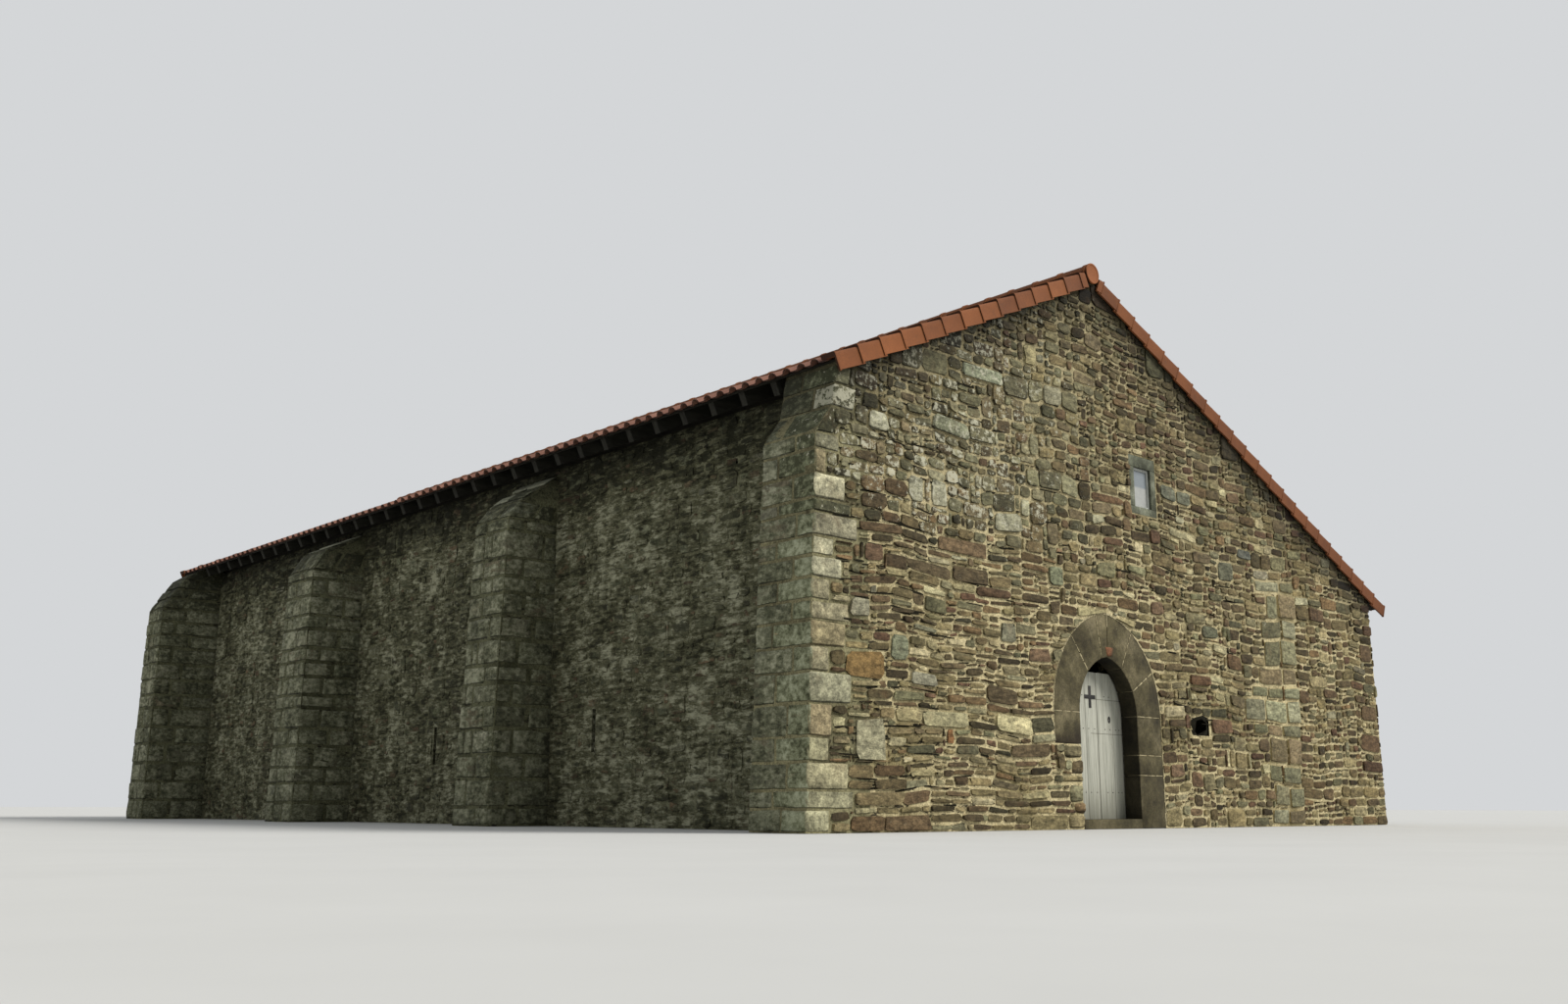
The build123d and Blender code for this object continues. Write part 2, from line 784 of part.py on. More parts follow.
# Ridge tiles bedded on both slopes, with their round end caps at the gables
crown = roof_height(x_ridge, tile_top) + ridge_crown_rise
ridge_y = verge_inner_y
with BuildPart() as ridge_tiles:
    with BuildSketch(upright(ridge_y)):
        with BuildLine():
            ThreePointArc(
                at_run(-1, ridge_half_width, tile_top),
                (x_ridge, crown),
                at_run(1, ridge_half_width, tile_top),
            )
            Line(at_run(1, ridge_half_width, tile_top), at_run(1, 0, tile_top))
            Line(at_run(-1, 0, tile_top), at_run(-1, ridge_half_width, tile_top))
        make_face()
    extrude(amount=2 * ridge_y)
save(ridge_tiles, "ridge_tiles")

with BuildPart() as ridge_end_caps:
    for y_cap in (ridge_y - ridge_cap_thickness, -ridge_y):
        with BuildSketch(upright(y_cap)):
            with Locations((x_ridge, crown - ridge_cap_drop)):
                Circle(ridge_cap_radius)
        extrude(amount=-ridge_cap_thickness)
save(ridge_end_caps, "ridge_end_caps")
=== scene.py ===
"""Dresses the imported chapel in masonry, roof tiles, timber and door, and sets the light and the camera."""

import logging
import math
from dataclasses import dataclass
from enum import Enum
from typing import Callable, Iterator, Sequence

import bmesh
import bpy
import numpy as np
from mathutils import Matrix, Vector


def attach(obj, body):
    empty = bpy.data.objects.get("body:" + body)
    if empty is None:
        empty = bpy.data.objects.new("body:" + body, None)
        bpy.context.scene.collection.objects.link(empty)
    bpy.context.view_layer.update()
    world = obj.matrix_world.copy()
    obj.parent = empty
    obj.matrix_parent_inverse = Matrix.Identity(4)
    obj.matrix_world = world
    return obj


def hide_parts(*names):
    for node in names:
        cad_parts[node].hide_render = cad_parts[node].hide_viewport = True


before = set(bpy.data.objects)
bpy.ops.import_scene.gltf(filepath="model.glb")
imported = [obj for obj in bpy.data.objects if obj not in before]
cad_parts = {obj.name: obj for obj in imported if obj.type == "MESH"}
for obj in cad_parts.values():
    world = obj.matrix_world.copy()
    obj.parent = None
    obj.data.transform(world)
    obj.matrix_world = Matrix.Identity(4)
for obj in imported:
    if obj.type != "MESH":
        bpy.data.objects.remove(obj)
log = logging.getLogger("chapel")

Socket = bpy.types.NodeSocket
Colour = tuple[float, float, float, float]


class Body(Enum):
    """The two bodies of the part."""

    BUILDING = "building"
    DOOR = "door"


class Slot(Enum):
    """Material slots of the record."""

    GABLE = "gable_rubble"
    SIDE = "side_rubble"
    ASHLAR = "ashlar"
    DRESSED = "dressed_stone"
    FLOOR = "floor_stone"
    IRON = "black_iron"
    BOARDS = "door_boards"
    PAINT = "window_paint"
    PANE = "window_pane"
    TERRACOTTA = "terracotta"
    TIMBER = "roof_timber"


def tint(code: str) -> Colour:
    """Turns a colour's code into linear light.

    Args:
        code: six-figure hex code.

    Returns:
        Red, green, blue and a full last channel.
    """
    values = [int(code[i : i + 2], 16) / 255 for i in (0, 2, 4)]
    linear = [v / 12.92 if v <= 0.04045 else ((v + 0.055) / 1.055) ** 2.4 for v in values]
    return (linear[0], linear[1], linear[2], 1.0)


@dataclass(frozen=True)
class Plan:
    """Main sizes of the chapel in metres, in the part's own frame."""

    x_left: float = -5.640
    x_right: float = 5.640
    y_front: float = -9.200
    y_back: float = 9.200
    x_ridge: float = -1.526
    verge_height: float = 6.758
    pitch: float = math.radians(25.3)
    left_overhang: float = 0.453
    right_overhang: float = 0.365
    x_door: float = -1.519
    springing: float = 1.330

    def roof_height(self, x: float, offset: float) -> float:
        """Height at x of the roof layer that lies this far above the verge line."""
        fall = abs(x - self.x_ridge) * math.tan(self.pitch)
        return self.verge_height - fall + offset / math.cos(self.pitch)

    def slope_length(self, side: int) -> float:
        """Length of one slope from the ridge to its eave.

        Args:
            side: -1 for the left slope and 1 for the right one.

        Returns:
            The length.
        """
        run = self.x_ridge - self.x_left + self.left_overhang
        if side > 0:
            run = self.x_right - self.x_ridge + self.right_overhang
        return run / math.cos(self.pitch)

    def on_slope(self, side: int, points: np.ndarray, y: float) -> np.ndarray:
        """Lays points on a slope.

        Args:
            side: -1 for the left slope and 1 for the right one.
            points: distance down the slope, place along the roof and height above the verge line.
            y: where the points' middle line lies along the roof.

        Returns:
            The points in the part's frame.
        """
        down, along, up = points.T
        x = self.x_ridge + side * (down * math.cos(self.pitch) + up * math.sin(self.pitch))
        z = self.verge_height - down * math.sin(self.pitch) + up * math.cos(self.pitch)
        return np.stack([x, y + side * along, z], axis=1)


PLAN = Plan()
Value = Socket | float | Sequence[float]
Sockets = dict[int | str, Value]
Stop = tuple[float, float | str]
Scale3 = tuple[float, float, float]
EVEN: Scale3 = (1.0, 1.0, 1.0)
FORWARD: Scale3 = (0.0, -1.0, 0.0)
DOWNWARD: Scale3 = (0.0, 0.0, -1.0)


def fill(tree: bpy.types.NodeTree, node: bpy.types.Node, sockets: Sockets) -> None:
    """Gives each named input of a node a link or a value.

    Args:
        tree: the node's tree.
        node: the node.
        sockets: what goes into its inputs.
    """
    for key, value in sockets.items():
        if isinstance(value, Socket):
            tree.links.new(value, node.inputs[key])
        else:
            node.inputs[key].default_value = value


def add_node(
    tree: bpy.types.NodeTree, kind: str, sockets: Sockets | None = None, **settings: object
) -> bpy.types.Node:
    """Adds a shader node to a tree.

    Args:
        tree: the node tree.
        kind: Blender's word for the node.
        sockets: what goes into its inputs, a link or a value each.
        settings: its other properties.

    Returns:
        The node.
    """
    node = tree.nodes.new(f"ShaderNode{kind}")
    for key, value in settings.items():
        setattr(node, key, value)
    fill(tree, node, sockets or {})
    return node


class NodeSheet:
    """Node tree of one finish, built socket by socket."""

    def __init__(self, name: str) -> None:
        """Opens a new material.

        Args:
            name: name of the material.
        """
        self.material = bpy.data.materials.new(name)
        self.material.use_nodes = True
        self.tree = self.material.node_tree
        self.shader = self.tree.nodes["Principled BSDF"]
        self.place = add_node(self.tree, "TexCoord").outputs["Object"]
        self.normal: Socket | None = None

    def socket(self, kind: str, output: int | str, sockets: Sockets, **settings: object) -> Socket:
        """Adds a node and gives one of its outputs."""
        return add_node(self.tree, kind, sockets, **settings).outputs[output]

    def stretched(self, stretch: Scale3) -> Socket:
        """Place of a point after each axis is stretched."""
        return self.socket("Mapping", "Vector", {"Vector": self.place, "Scale": stretch})

    def noise(
        self, scale: float, detail: float = 5.0, stretch: Scale3 = EVEN, rough: float = 0.6, bend: float = 0.0
    ) -> Socket:
        """Cloudy noise.

        Args:
            scale: patches per metre, roughly.
            detail: layers of finer noise.
            stretch: factor on each axis before the noise is read.
            rough: share of the finer layers.
            bend: how much the noise is bent by itself.

        Returns:
            The noise as a factor about one half.
        """
        looks = {"Scale": scale, "Detail": detail, "Roughness": rough, "Distortion": bend}
        return self.socket("TexNoise", 0, {"Vector": self.stretched(stretch), **looks})

    def cells(self, scale: float) -> Socket:
        """Distance from the middle of the nearest cell, for spots."""
        return self.socket("TexVoronoi", "Distance", {"Vector": self.stretched(EVEN), "Scale": scale})

    def axis(self, name: str) -> Socket:
        """Place of a point on one axis."""
        return self.socket("SeparateXYZ", name, {0: self.place})

    def between(self, value: Socket, start: float, end: float) -> Socket:
        """Share of the way between two values, held between 0 and 1."""
        return self.socket("MapRange", 0, {"Value": value, "From Min": start, "From Max": end})

    def span(self, axis: str, start: float, end: float) -> Socket:
        """Share of the way between two places on one axis, held between 0 and 1."""
        return self.between(self.axis(axis), start, end)

    def below_roof(self, reach: float) -> Socket:
        """Share of the way from the roof's edge down to a place below it.

        Args:
            reach: how far below the edge the share is 1.

        Returns:
            The share, held between 0 and 1.
        """
        aside = self.maths("ABSOLUTE", self.add(self.axis("X"), -PLAN.x_ridge), 0.0)
        height = self.add(self.times(aside, math.tan(PLAN.pitch)), self.axis("Z"))
        return self.between(height, PLAN.verge_height, PLAN.verge_height - reach)

    def facing(self, way: Scale3) -> Socket:
        """How much the plain surface faces a way, between -1 and 1."""
        normal = add_node(self.tree, "NewGeometry").outputs["True Normal"]
        return self.socket("VectorMath", "Value", {0: normal, 1: way}, operation="DOT_PRODUCT")

    def attribute(self, name: str) -> bpy.types.Node:
        """Attribute that the piece's own mesh carries."""
        return add_node(self.tree, "Attribute", attribute_name=name)

    def ramp(self, factor: Socket, *stops: Stop) -> Socket:
        """Turns a factor into greys or colours.

        Args:
            factor: what is turned.
            stops: places in rising order, each with its grey or the code of its colour.

        Returns:
            The grey or the colour.
        """
        node = add_node(self.tree, "ValToRGB", {"Fac": factor})
        elements = node.color_ramp.elements
        while len(elements) < len(stops):
            elements.new(0.5)
        for element, (at, _) in zip(elements, stops):
            element.position = at
        for element, (_, value) in zip(elements, stops):
            element.color = tint(value) if isinstance(value, str) else (value, value, value, 1.0)
        return node.outputs["Color"]

    def blend(self, factor: Value, first: Value, second: Value, mode: str = "MIX") -> Socket:
        """Blends two colours by a factor."""
        return self.socket("Mix", 2, {0: factor, 6: first, 7: second}, data_type="RGBA", blend_type=mode)

    def shade(self, colour: Value, factor: Socket, *stops: Stop) -> Socket:
        """Multiplies a colour by the ramp of a factor."""
        return self.blend(1.0, colour, self.ramp(factor, *stops), "MULTIPLY")

    def cover(self, colour: Socket, code: str, factor: Socket, *stops: Stop) -> Socket:
        """Covers a colour with another one as far as the ramp of a factor says."""
        return self.blend(self.ramp(factor, *stops), colour, tint(code))

    def maths(self, operation: str, first: Value, second: Value) -> Socket:
        """Joins two factors by one arithmetic operation."""
        return self.socket("Math", 0, {0: first, 1: second}, operation=operation)

    def add(self, first: Value, second: Value) -> Socket:
        """Sum of two factors."""
        return self.maths("ADD", first, second)

    def times(self, first: Value, second: Value) -> Socket:
        """Product of two factors."""
        return self.maths("MULTIPLY", first, second)

    def bump(self, height: Socket, strength: float, depth: float) -> None:
        """Raises the surface by a height, on top of the bumps laid before.

        Args:
            height: the height as a factor.
            strength: share of the bump that is seen.
            depth: height in metres where the factor is 1.
        """
        sockets = {"Strength": strength, "Distance": depth, "Height": height}
        if self.normal is not None:
            sockets["Normal"] = self.normal
        self.normal = self.socket("Bump", "Normal", sockets)

    def finish(self, colour: Socket, roughness: Socket | float, specular: float = 0.3) -> bpy.types.Material:
        """Joins colour, roughness and bumps to the shader.

        Args:
            colour: base colour.
            roughness: roughness of the surface.
            specular: specular level.

        Returns:
            The finished material.
        """
        sockets = {"Base Color": colour, "Roughness": roughness, "Specular IOR Level": specular}
        if self.normal is not None:
            sockets["Normal"] = self.normal
        fill(self.tree, self.shader, sockets)
        return self.material


@dataclass(frozen=True)
class Finish:
    """A finish that pieces of one slot share."""

    name: str
    slot: Slot

    def sheet(self) -> bpy.types.Material:
        """Builds the material."""
        raise NotImplementedError

    def material(self) -> bpy.types.Material:
        """The material, built at its first use."""
        found = bpy.data.materials.get(self.name)
        return found if found else self.sheet()


@dataclass(frozen=True)
class Coat:
    """Weathered skin of lime, lichen and dirt that hides the stones of a surface."""

    dark: str
    middle: str
    pale: str
    bare_from: float
    way: Scale3 | None = None
    stretch: Scale3 = (1.0, 1.0, 1.25)
    streak: float = 0.45
    darker_from: float = 3.8

    def over(self, sheet: NodeSheet, colour: Socket) -> Socket:
        """Lays the coat over a colour.

        Args:
            sheet: node tree of the finish.
            colour: colour of the stones under it.

        Returns:
            The colour with the coat on it.
        """
        speckle = sheet.noise(12.0, 9.0, self.stretch, 0.74)
        stripe = sheet.noise(2.4, 6.0, (1.0, 1.0, self.streak), 0.66)
        upper = sheet.span("Z", self.darker_from, self.darker_from + 0.35)
        tone = sheet.add(sheet.times(speckle, 0.62), sheet.times(stripe, 0.38))
        tone = sheet.add(tone, sheet.times(upper, -0.075))
        skin = sheet.ramp(tone, (0.42, self.dark), (0.50, self.middle), (0.59, self.pale))
        bare = sheet.noise(5.5, 6.0, (1.0, 0.6, 1.7), 0.62)
        cover = sheet.ramp(bare, (self.bare_from - 0.04, 1.0), (self.bare_from + 0.03, 0.10))
        if self.way is not None:
            cover = sheet.times(cover, sheet.ramp(sheet.facing(self.way), (0.55, 0.0), (0.75, 1.0)))
        return sheet.blend(cover, colour, skin)


@dataclass(frozen=True)
class Mortar(Finish):
    """Lime mortar: the ground between the stones of one wall."""

    pale: str = "cdbf95"
    dark: str = "918560"
    stain: str = "4a4430"
    stain_from: float = 0.57
    # Near-black of the washed-out gaps: painted shade in hollows that are not modelled.
    gap: str = "26221a"
    gap_shade_from: float = 0.62
    gap_shade_bias: float = 0.0
    # Darkness of the painted shade on faces that look away from the front.
    reveal_shade: float = 1.0
    high: float = 1.0
    coat: Coat | None = None

    def sheet(self) -> bpy.types.Material:
        """Sandy mortar with weathered patches, washed out in dark gaps along the courses whose near-black is
        painted shade, with painted shade below the roof's edge and on faces that look away from the front.

        Returns:
            The material.
        """
        sheet = NodeSheet(self.name)
        sand = sheet.noise(48.0, 5.0, rough=0.65)
        colour = sheet.ramp(sheet.noise(1.9, 7.0, rough=0.7), (0.38, self.dark), (0.56, self.pale))
        colour = sheet.shade(colour, sand, (0.32, 0.52), (0.68, 1.4))
        stain = sheet.noise(5.3, 8.0, rough=0.72)
        colour = sheet.cover(colour, self.stain, stain, (self.stain_from, 0.0), (0.70, 0.9))
        # Dark gaps of washed-out mortar along the courses, more of them to the left; their near-black is
        # painted shade.
        left = sheet.times(sheet.span("X", 1.0, -6.0), self.gap_shade_bias)
        gaps = sheet.add(sheet.noise(6.0, 7.0, (1.0, 1.0, 3.0), 0.7), left)
        colour = sheet.cover(colour, self.gap, gaps, (self.gap_shade_from, 0.0), (self.gap_shade_from + 0.05, 0.92))
        if self.coat is not None:
            colour = self.coat.over(sheet, colour)
        if self.high < 1.0:
            colour = sheet.shade(colour, sheet.span("Z", 2.7, 4.3), (0.0, 1.0), (1.0, self.high))
        # Painted shade below the roof's edge.
        colour = sheet.shade(colour, sheet.below_roof(0.75), (0.08, 0.32), (0.8, 1.0))
        # Painted shade on reveals and other faces that look away from the front.
        if self.reveal_shade < 1.0:
            colour = sheet.shade(colour, sheet.facing(FORWARD), (0.25, self.reveal_shade), (0.75, 1.0))
        sheet.bump(sheet.noise(16.0, 8.0, rough=0.7), 0.8, 0.03)
        sheet.bump(sand, 0.5, 0.006)
        return sheet.finish(colour, 0.95, 0.15)


@dataclass(frozen=True)
class StoneFinish(Finish):
    """Rough or dressed stone whose colour and age come stone by stone from the mesh."""

    smear: str = "b9a97b"
    smear_reach: float = 0.42
    lichen: str = "bdbaa3"
    lichen_from: float = 0.665
    moss: str = "45472e"
    moss_from: float = 0.64
    grain: float = 7.0
    bedding: float = 3.0
    relief: float = 0.020
    # Darkness of the painted shade on faces that look to the front.
    front_face_shade: float = 1.0
    # Darkness of the painted shade on faces that look down.
    under: float = 0.35
    eave_shade: float = 0.36
    coat: Coat | None = None

    def sheet(self) -> bpy.types.Material:
        """Layered stone with smeared mortar at its edges, lichen and moss, with painted shade on faces that
        look down, below the roof's edge and, where set, on faces that look to the front.

        Returns:
            The material.
        """
        sheet = NodeSheet(self.name)
        stone = sheet.attribute("stone_colour")
        rim = sheet.attribute("face_share").outputs["Fac"]
        stretch = (1.0, 1.0, self.bedding)
        broad = sheet.noise(self.grain, 7.0, stretch, 0.64, 0.3)
        fine = sheet.noise(self.grain * 6, 6.0, stretch, 0.72)
        colour = sheet.shade(stone.outputs["Color"], broad, (0.33, 0.50), (0.67, 1.48))
        colour = sheet.shade(colour, fine, (0.32, 0.62), (0.68, 1.38))
        colour = sheet.shade(colour, sheet.noise(21.0, 8.0, rough=0.74), (0.38, 0.60), (0.62, 1.36))
        colour = sheet.cover(colour, "75573a", sheet.noise(4.0, 6.0), (0.56, 0.0), (0.76, 0.28))
        ragged = sheet.add(rim, sheet.times(sheet.noise(16.0, 8.0, rough=0.74), 1.5))
        edge = self.smear_reach / 2
        clean = sheet.ramp(sheet.times(ragged, 0.5), (edge + 0.20, 0.0), (edge + 0.28, 1.0))
        dusty = sheet.shade(tint(self.smear), fine, (0.3, 0.68), (0.7, 1.25))
        colour = sheet.blend(clean, dusty, colour)
        if self.coat is not None:
            colour = self.coat.over(sheet, colour)
        spots = sheet.add(sheet.noise(15.0, 10.0, rough=0.76), sheet.times(stone.outputs["Alpha"], 0.12))
        full = self.lichen_from + 0.05
        colour = sheet.cover(colour, self.lichen, spots, (self.lichen_from, 0.0), (full, 0.85))
        green = sheet.noise(1.7, 9.0, rough=0.7)
        colour = sheet.cover(colour, self.moss, green, (self.moss_from, 0.0), (self.moss_from + 0.12, 0.7))
        # Painted shade on faces that look down, under each stone.
        colour = sheet.shade(colour, sheet.facing(DOWNWARD), (0.12, 1.0), (0.60, self.under))
        # Painted shade below the roof's edge.
        colour = sheet.shade(colour, sheet.below_roof(0.75), (0.08, self.eave_shade), (0.8, 1.0))
        # Painted shade on faces that look to the front.
        if self.front_face_shade < 1.0:
            colour = sheet.shade(colour, sheet.facing(FORWARD), (0.4, 1.0), (0.8, self.front_face_shade))
        sheet.bump(broad, 0.9, self.relief)
        sheet.bump(fine, 0.6, self.relief / 4)
        return sheet.finish(colour, 0.92, 0.2)


@dataclass(frozen=True)
class DressedFinish(Finish):
    """Smooth dressed stone with stains, for pieces taken over from the part."""

    pale: str = "736a50"
    middle: str = "575038"
    dark: str = "3f3928"
    stain: str = "2c281c"
    stain_from: float = 0.58
    # Darkness of the painted shade on faces that look away from the front.
    reveal_shade: float = 0.26
    doorway: bool = False

    def sheet(self) -> bpy.types.Material:
        """Fine-grained stone with broad tone patches, dark stains and painted shade on faces that look away
        from the front.

        Returns:
            The material.
        """
        sheet = NodeSheet(self.name)
        broad = sheet.noise(2.6, 7.0, rough=0.6)
        fine = sheet.noise(60.0, 6.0, rough=0.7)
        mottle = sheet.noise(17.0, 8.0, rough=0.72)
        colour = sheet.ramp(broad, (0.36, self.dark), (0.5, self.middle), (0.65, self.pale))
        colour = sheet.shade(colour, fine, (0.3, 0.62), (0.7, 1.34))
        colour = sheet.shade(colour, mottle, (0.34, 0.66), (0.66, 1.32))
        stain = sheet.noise(4.5, 9.0, rough=0.72)
        colour = sheet.cover(colour, self.stain, stain, (self.stain_from, 0.0), (0.8, 0.8))
        spots = sheet.ramp(sheet.cells(21.0), (0.05, 0.7), (0.11, 0.0))
        keep = sheet.ramp(sheet.noise(7.0), (0.56, 0.0), (0.66, 1.0))
        colour = sheet.blend(sheet.times(spots, keep), colour, tint("b4ad93"))
        # Painted shade on reveals and other faces that look away from the front.
        colour = sheet.shade(colour, sheet.facing(FORWARD), (0.25, self.reveal_shade), (0.75, 1.0))
        colour = sheet.shade(colour, sheet.noise(1.7, 1.0), (0.35, 0.80), (0.65, 1.18))
        if self.doorway:
            colour = sheet.shade(colour, sheet.span("X", -1.9, -0.5), (0.3, 1.0), (0.9, 0.84))
            low = sheet.ramp(sheet.add(sheet.span("Z", 0.95, 1.36), broad), (0.62, 0.9), (0.95, 0.0))
            left = sheet.ramp(sheet.span("X", -2.2, -2.0), (0.1, 1.0), (0.9, 0.0))
            colour = sheet.blend(sheet.times(low, left), colour, tint("2e261c"))
        sheet.bump(mottle, 0.7, 0.010)
        sheet.bump(fine, 0.5, 0.003)
        return sheet.finish(colour, 0.88, 0.25)


@dataclass(frozen=True)
class TileFinish(Finish):
    """Fired clay with its own tone tile by tile."""

    pale: str = "8f542a"
    middle: str = "784521"
    dark: str = "5c3319"
    tail_way: Scale3 = (-0.904, 0.0, -0.427)

    def sheet(self) -> bpy.types.Material:
        """Terracotta with kiln tones, soot and a thin film of dirt, in shade at its tail.

        Returns:
            The material.
        """
        sheet = NodeSheet(self.name)
        tone = sheet.attribute("face_share").outputs["Fac"]
        broad = sheet.noise(3.5, 6.0)
        fine = sheet.noise(70.0, 5.0, rough=0.7)
        mixed = sheet.add(sheet.times(tone, 0.5), sheet.times(broad, 0.5))
        colour = sheet.ramp(mixed, (0.2, self.dark), (0.48, self.middle), (0.8, self.pale))
        colour = sheet.shade(colour, fine, (0.3, 0.8), (0.7, 1.15))
        colour = sheet.cover(colour, "4a3420", sheet.noise(6.0, 9.0, rough=0.72), (0.56, 0.0), (0.78, 0.6))
        # Painted shade on faces that look towards the tile's tail, where it laps over the next tile.
        colour = sheet.shade(colour, sheet.facing(self.tail_way), (0.70, 1.0), (0.92, 0.22))
        sheet.bump(fine, 0.35, 0.002)
        sheet.bump(broad, 0.3, 0.006)
        return sheet.finish(colour, 0.82)


@dataclass(frozen=True)
class TimberFinish(Finish):
    """Sawn timber with its grain along one axis."""

    pale: str
    dark: str
    stretch: Scale3 = (1.0, 0.06, 1.0)

    def sheet(self) -> bpy.types.Material:
        """Weathered dark timber.

        Returns:
            The material.
        """
        sheet = NodeSheet(self.name)
        grain = sheet.noise(38.0, 8.0, self.stretch, 0.7, 0.6)
        colour = sheet.ramp(grain, (0.3, self.dark), (0.7, self.pale))
        colour = sheet.shade(colour, sheet.noise(2.0, 4.0), (0.3, 0.7), (0.7, 1.2))
        sheet.bump(grain, 0.6, 0.004)
        return sheet.finish(colour, 0.85, 0.2)


@dataclass(frozen=True)
class PaintedBoards(Finish):
    """Worn pale paint on upright boards."""

    paint: str = "b9b9ab"
    worn: str = "8d8d80"
    bare: str = "504f45"
    ledge_heights: tuple[float, float] = (1.115, 1.525)

    def sheet(self) -> bpy.types.Material:
        """Pale paint worn down along the grain, darker near the ground and along the ledges' nails.

        Returns:
            The material.
        """
        sheet = NodeSheet(self.name)
        grain = sheet.noise(46.0, 9.0, (1.0, 1.0, 0.035), 0.72, 0.3)
        colour = sheet.ramp(grain, (0.34, self.worn), (0.56, self.paint))
        cracks = sheet.noise(75.0, 5.0, (1.0, 1.0, 0.02), 0.8)
        colour = sheet.cover(colour, self.bare, cracks, (0.33, 0.85), (0.40, 0.0))
        stain = sheet.noise(3.2, 9.0, (1.6, 1.0, 0.5), 0.7)
        colour = sheet.cover(colour, "6d6c60", stain, (0.56, 0.0), (0.75, 0.55))
        colour = sheet.cover(colour, "7a7866", sheet.span("Z", 0.0, 1.0), (0.1, 0.55), (0.55, 0.0))
        right = sheet.ramp(sheet.span("X", -1.58, -1.56), (0.4, 0.0), (0.6, 0.8))
        for height in self.ledge_heights:
            near = sheet.span("Z", height - 0.03, height + 0.03)
            line = sheet.ramp(near, (0.40, 0.0), (0.48, 1.0), (0.53, 1.0), (0.62, 0.0))
            colour = sheet.blend(sheet.times(line, right), colour, tint("5b5a4e"))
        sheet.bump(grain, 0.6, 0.0025)
        return sheet.finish(colour, 0.7, 0.35)


@dataclass(frozen=True)
class IronFinish(Finish):
    """Forged iron with old black paint."""

    paint: str = "1c1a18"
    rust: str = "4a2f20"

    def sheet(self) -> bpy.types.Material:
        """Near-black paint over pitted iron, with rust in places.

        Returns:
            The material.
        """
        sheet = NodeSheet(self.name)
        pits = sheet.noise(90.0, 6.0, rough=0.7)
        rust = sheet.ramp(sheet.noise(24.0, 8.0, rough=0.7), (0.56, 0.0), (0.7, 0.7))
        sheet.bump(pits, 0.5, 0.002)
        rough = sheet.ramp(pits, (0.3, 0.45), (0.7, 0.75))
        return sheet.finish(sheet.blend(rust, tint(self.paint), tint(self.rust)), rough, 0.5)


@dataclass(frozen=True)
class PaneFinish(Finish):
    """Old window glass whose pale colour is a painted reflection of the sky."""

    def sheet(self) -> bpy.types.Material:
        """Slightly rippled glass, dusty in patches, whose pale colour is a painted reflection of the sky,
        with painted shade over its upper part.

        Returns:
            The material.
        """
        sheet = NodeSheet(self.name)
        dust = sheet.noise(9.0, 6.0)
        # Pale colour varied by dust: a painted reflection of the sky.
        colour = sheet.ramp(dust, (0.3, "a3a4a0"), (0.75, "b4b5b0"))
        # Painted shade over the upper part of the pane, under the lintel.
        colour = sheet.cover(colour, "7d858b", sheet.span("Z", 4.0, 4.5), (0.52, 0.0), (0.58, 0.9))
        sheet.bump(sheet.noise(5.0, 2.0), 0.25, 0.01)
        return sheet.finish(colour, sheet.ramp(dust, (0.4, 0.10), (0.7, 0.28)), 0.6)


@dataclass(frozen=True)
class DeepShade(Finish):
    """Near-black painted shade at the back of open joints and holes."""

    def sheet(self) -> bpy.types.Material:
        """Nearly black crumbling surface that paints the deep shade.

        Returns:
            The material.
        """
        sheet = NodeSheet(self.name)
        crumbs = sheet.noise(40.0, 6.0, rough=0.7)
        sheet.bump(crumbs, 0.8, 0.01)
        return sheet.finish(sheet.ramp(crumbs, (0.35, "12110c"), (0.7, "28251a")), 0.97, 0.1)


@dataclass(frozen=True)
class FloorFinish(Finish):
    """Worn stone slabs of the floor inside."""

    slab: tuple[float, float] = (0.7, 0.45)
    joint: float = 0.008

    def sheet(self) -> bpy.types.Material:
        """Grey-brown slabs with sunk joints.

        Returns:
            The material.
        """
        sheet = NodeSheet(self.name)
        colours = {"Color1": tint("7a7461"), "Color2": tint("665f4e"), "Mortar": tint("3f3a2f")}
        sizes = {"Mortar Size": self.joint, "Brick Width": self.slab[0], "Row Height": self.slab[1]}
        slabs = add_node(sheet.tree, "TexBrick", {"Vector": sheet.place, "Scale": 1.0, **colours, **sizes})
        fine = sheet.noise(30.0, 6.0, rough=0.7)
        colour = sheet.shade(slabs.outputs["Color"], fine, (0.3, 0.8), (0.7, 1.2))
        sheet.bump(slabs.outputs["Fac"], 0.6, -0.006)
        sheet.bump(fine, 0.4, 0.004)
        return sheet.finish(colour, 0.85)


SIDE_COAT = Coat("2e2e20", "5c5b44", "a5a48a", 0.55, stretch=(1.0, 0.45, 1.5), streak=0.8, darker_from=3.9)
BLOCK_COAT = Coat("3f4030", "707159", "a3a289", 0.56, stretch=(1.0, 0.8, 1.3))
CORNER_COAT = Coat("454733", "7b7e62", "a9ac90", 0.68, way=(-1.0, 0.0, 0.0), streak=0.8, darker_from=3.05)
GABLE_MORTAR = Mortar("gable_mortar", Slot.GABLE, gap_shade_bias=0.07, high=0.74)
BLOCK_MORTAR = Mortar("block_mortar", Slot.ASHLAR, "6c6c52", "484834", "2c2c20", 0.52, gap_shade_from=0.57)
QUOIN_MORTAR = Mortar("quoin_mortar", Slot.ASHLAR, "8d8766", "5f5a43", "403c2b")
JOINT_MORTAR = Mortar(
    "joint_mortar", Slot.DRESSED, "b9ad8a", "8f8464", stain_from=0.66, gap_shade_from=0.9, reveal_shade=0.25
)
SIDE_MORTAR = Mortar("side_mortar", Slot.SIDE, "7b7a60", "4a4934", "2f2e22", 0.5, coat=SIDE_COAT)
DEEP_SHADE = DeepShade("deep_shade", Slot.GABLE)
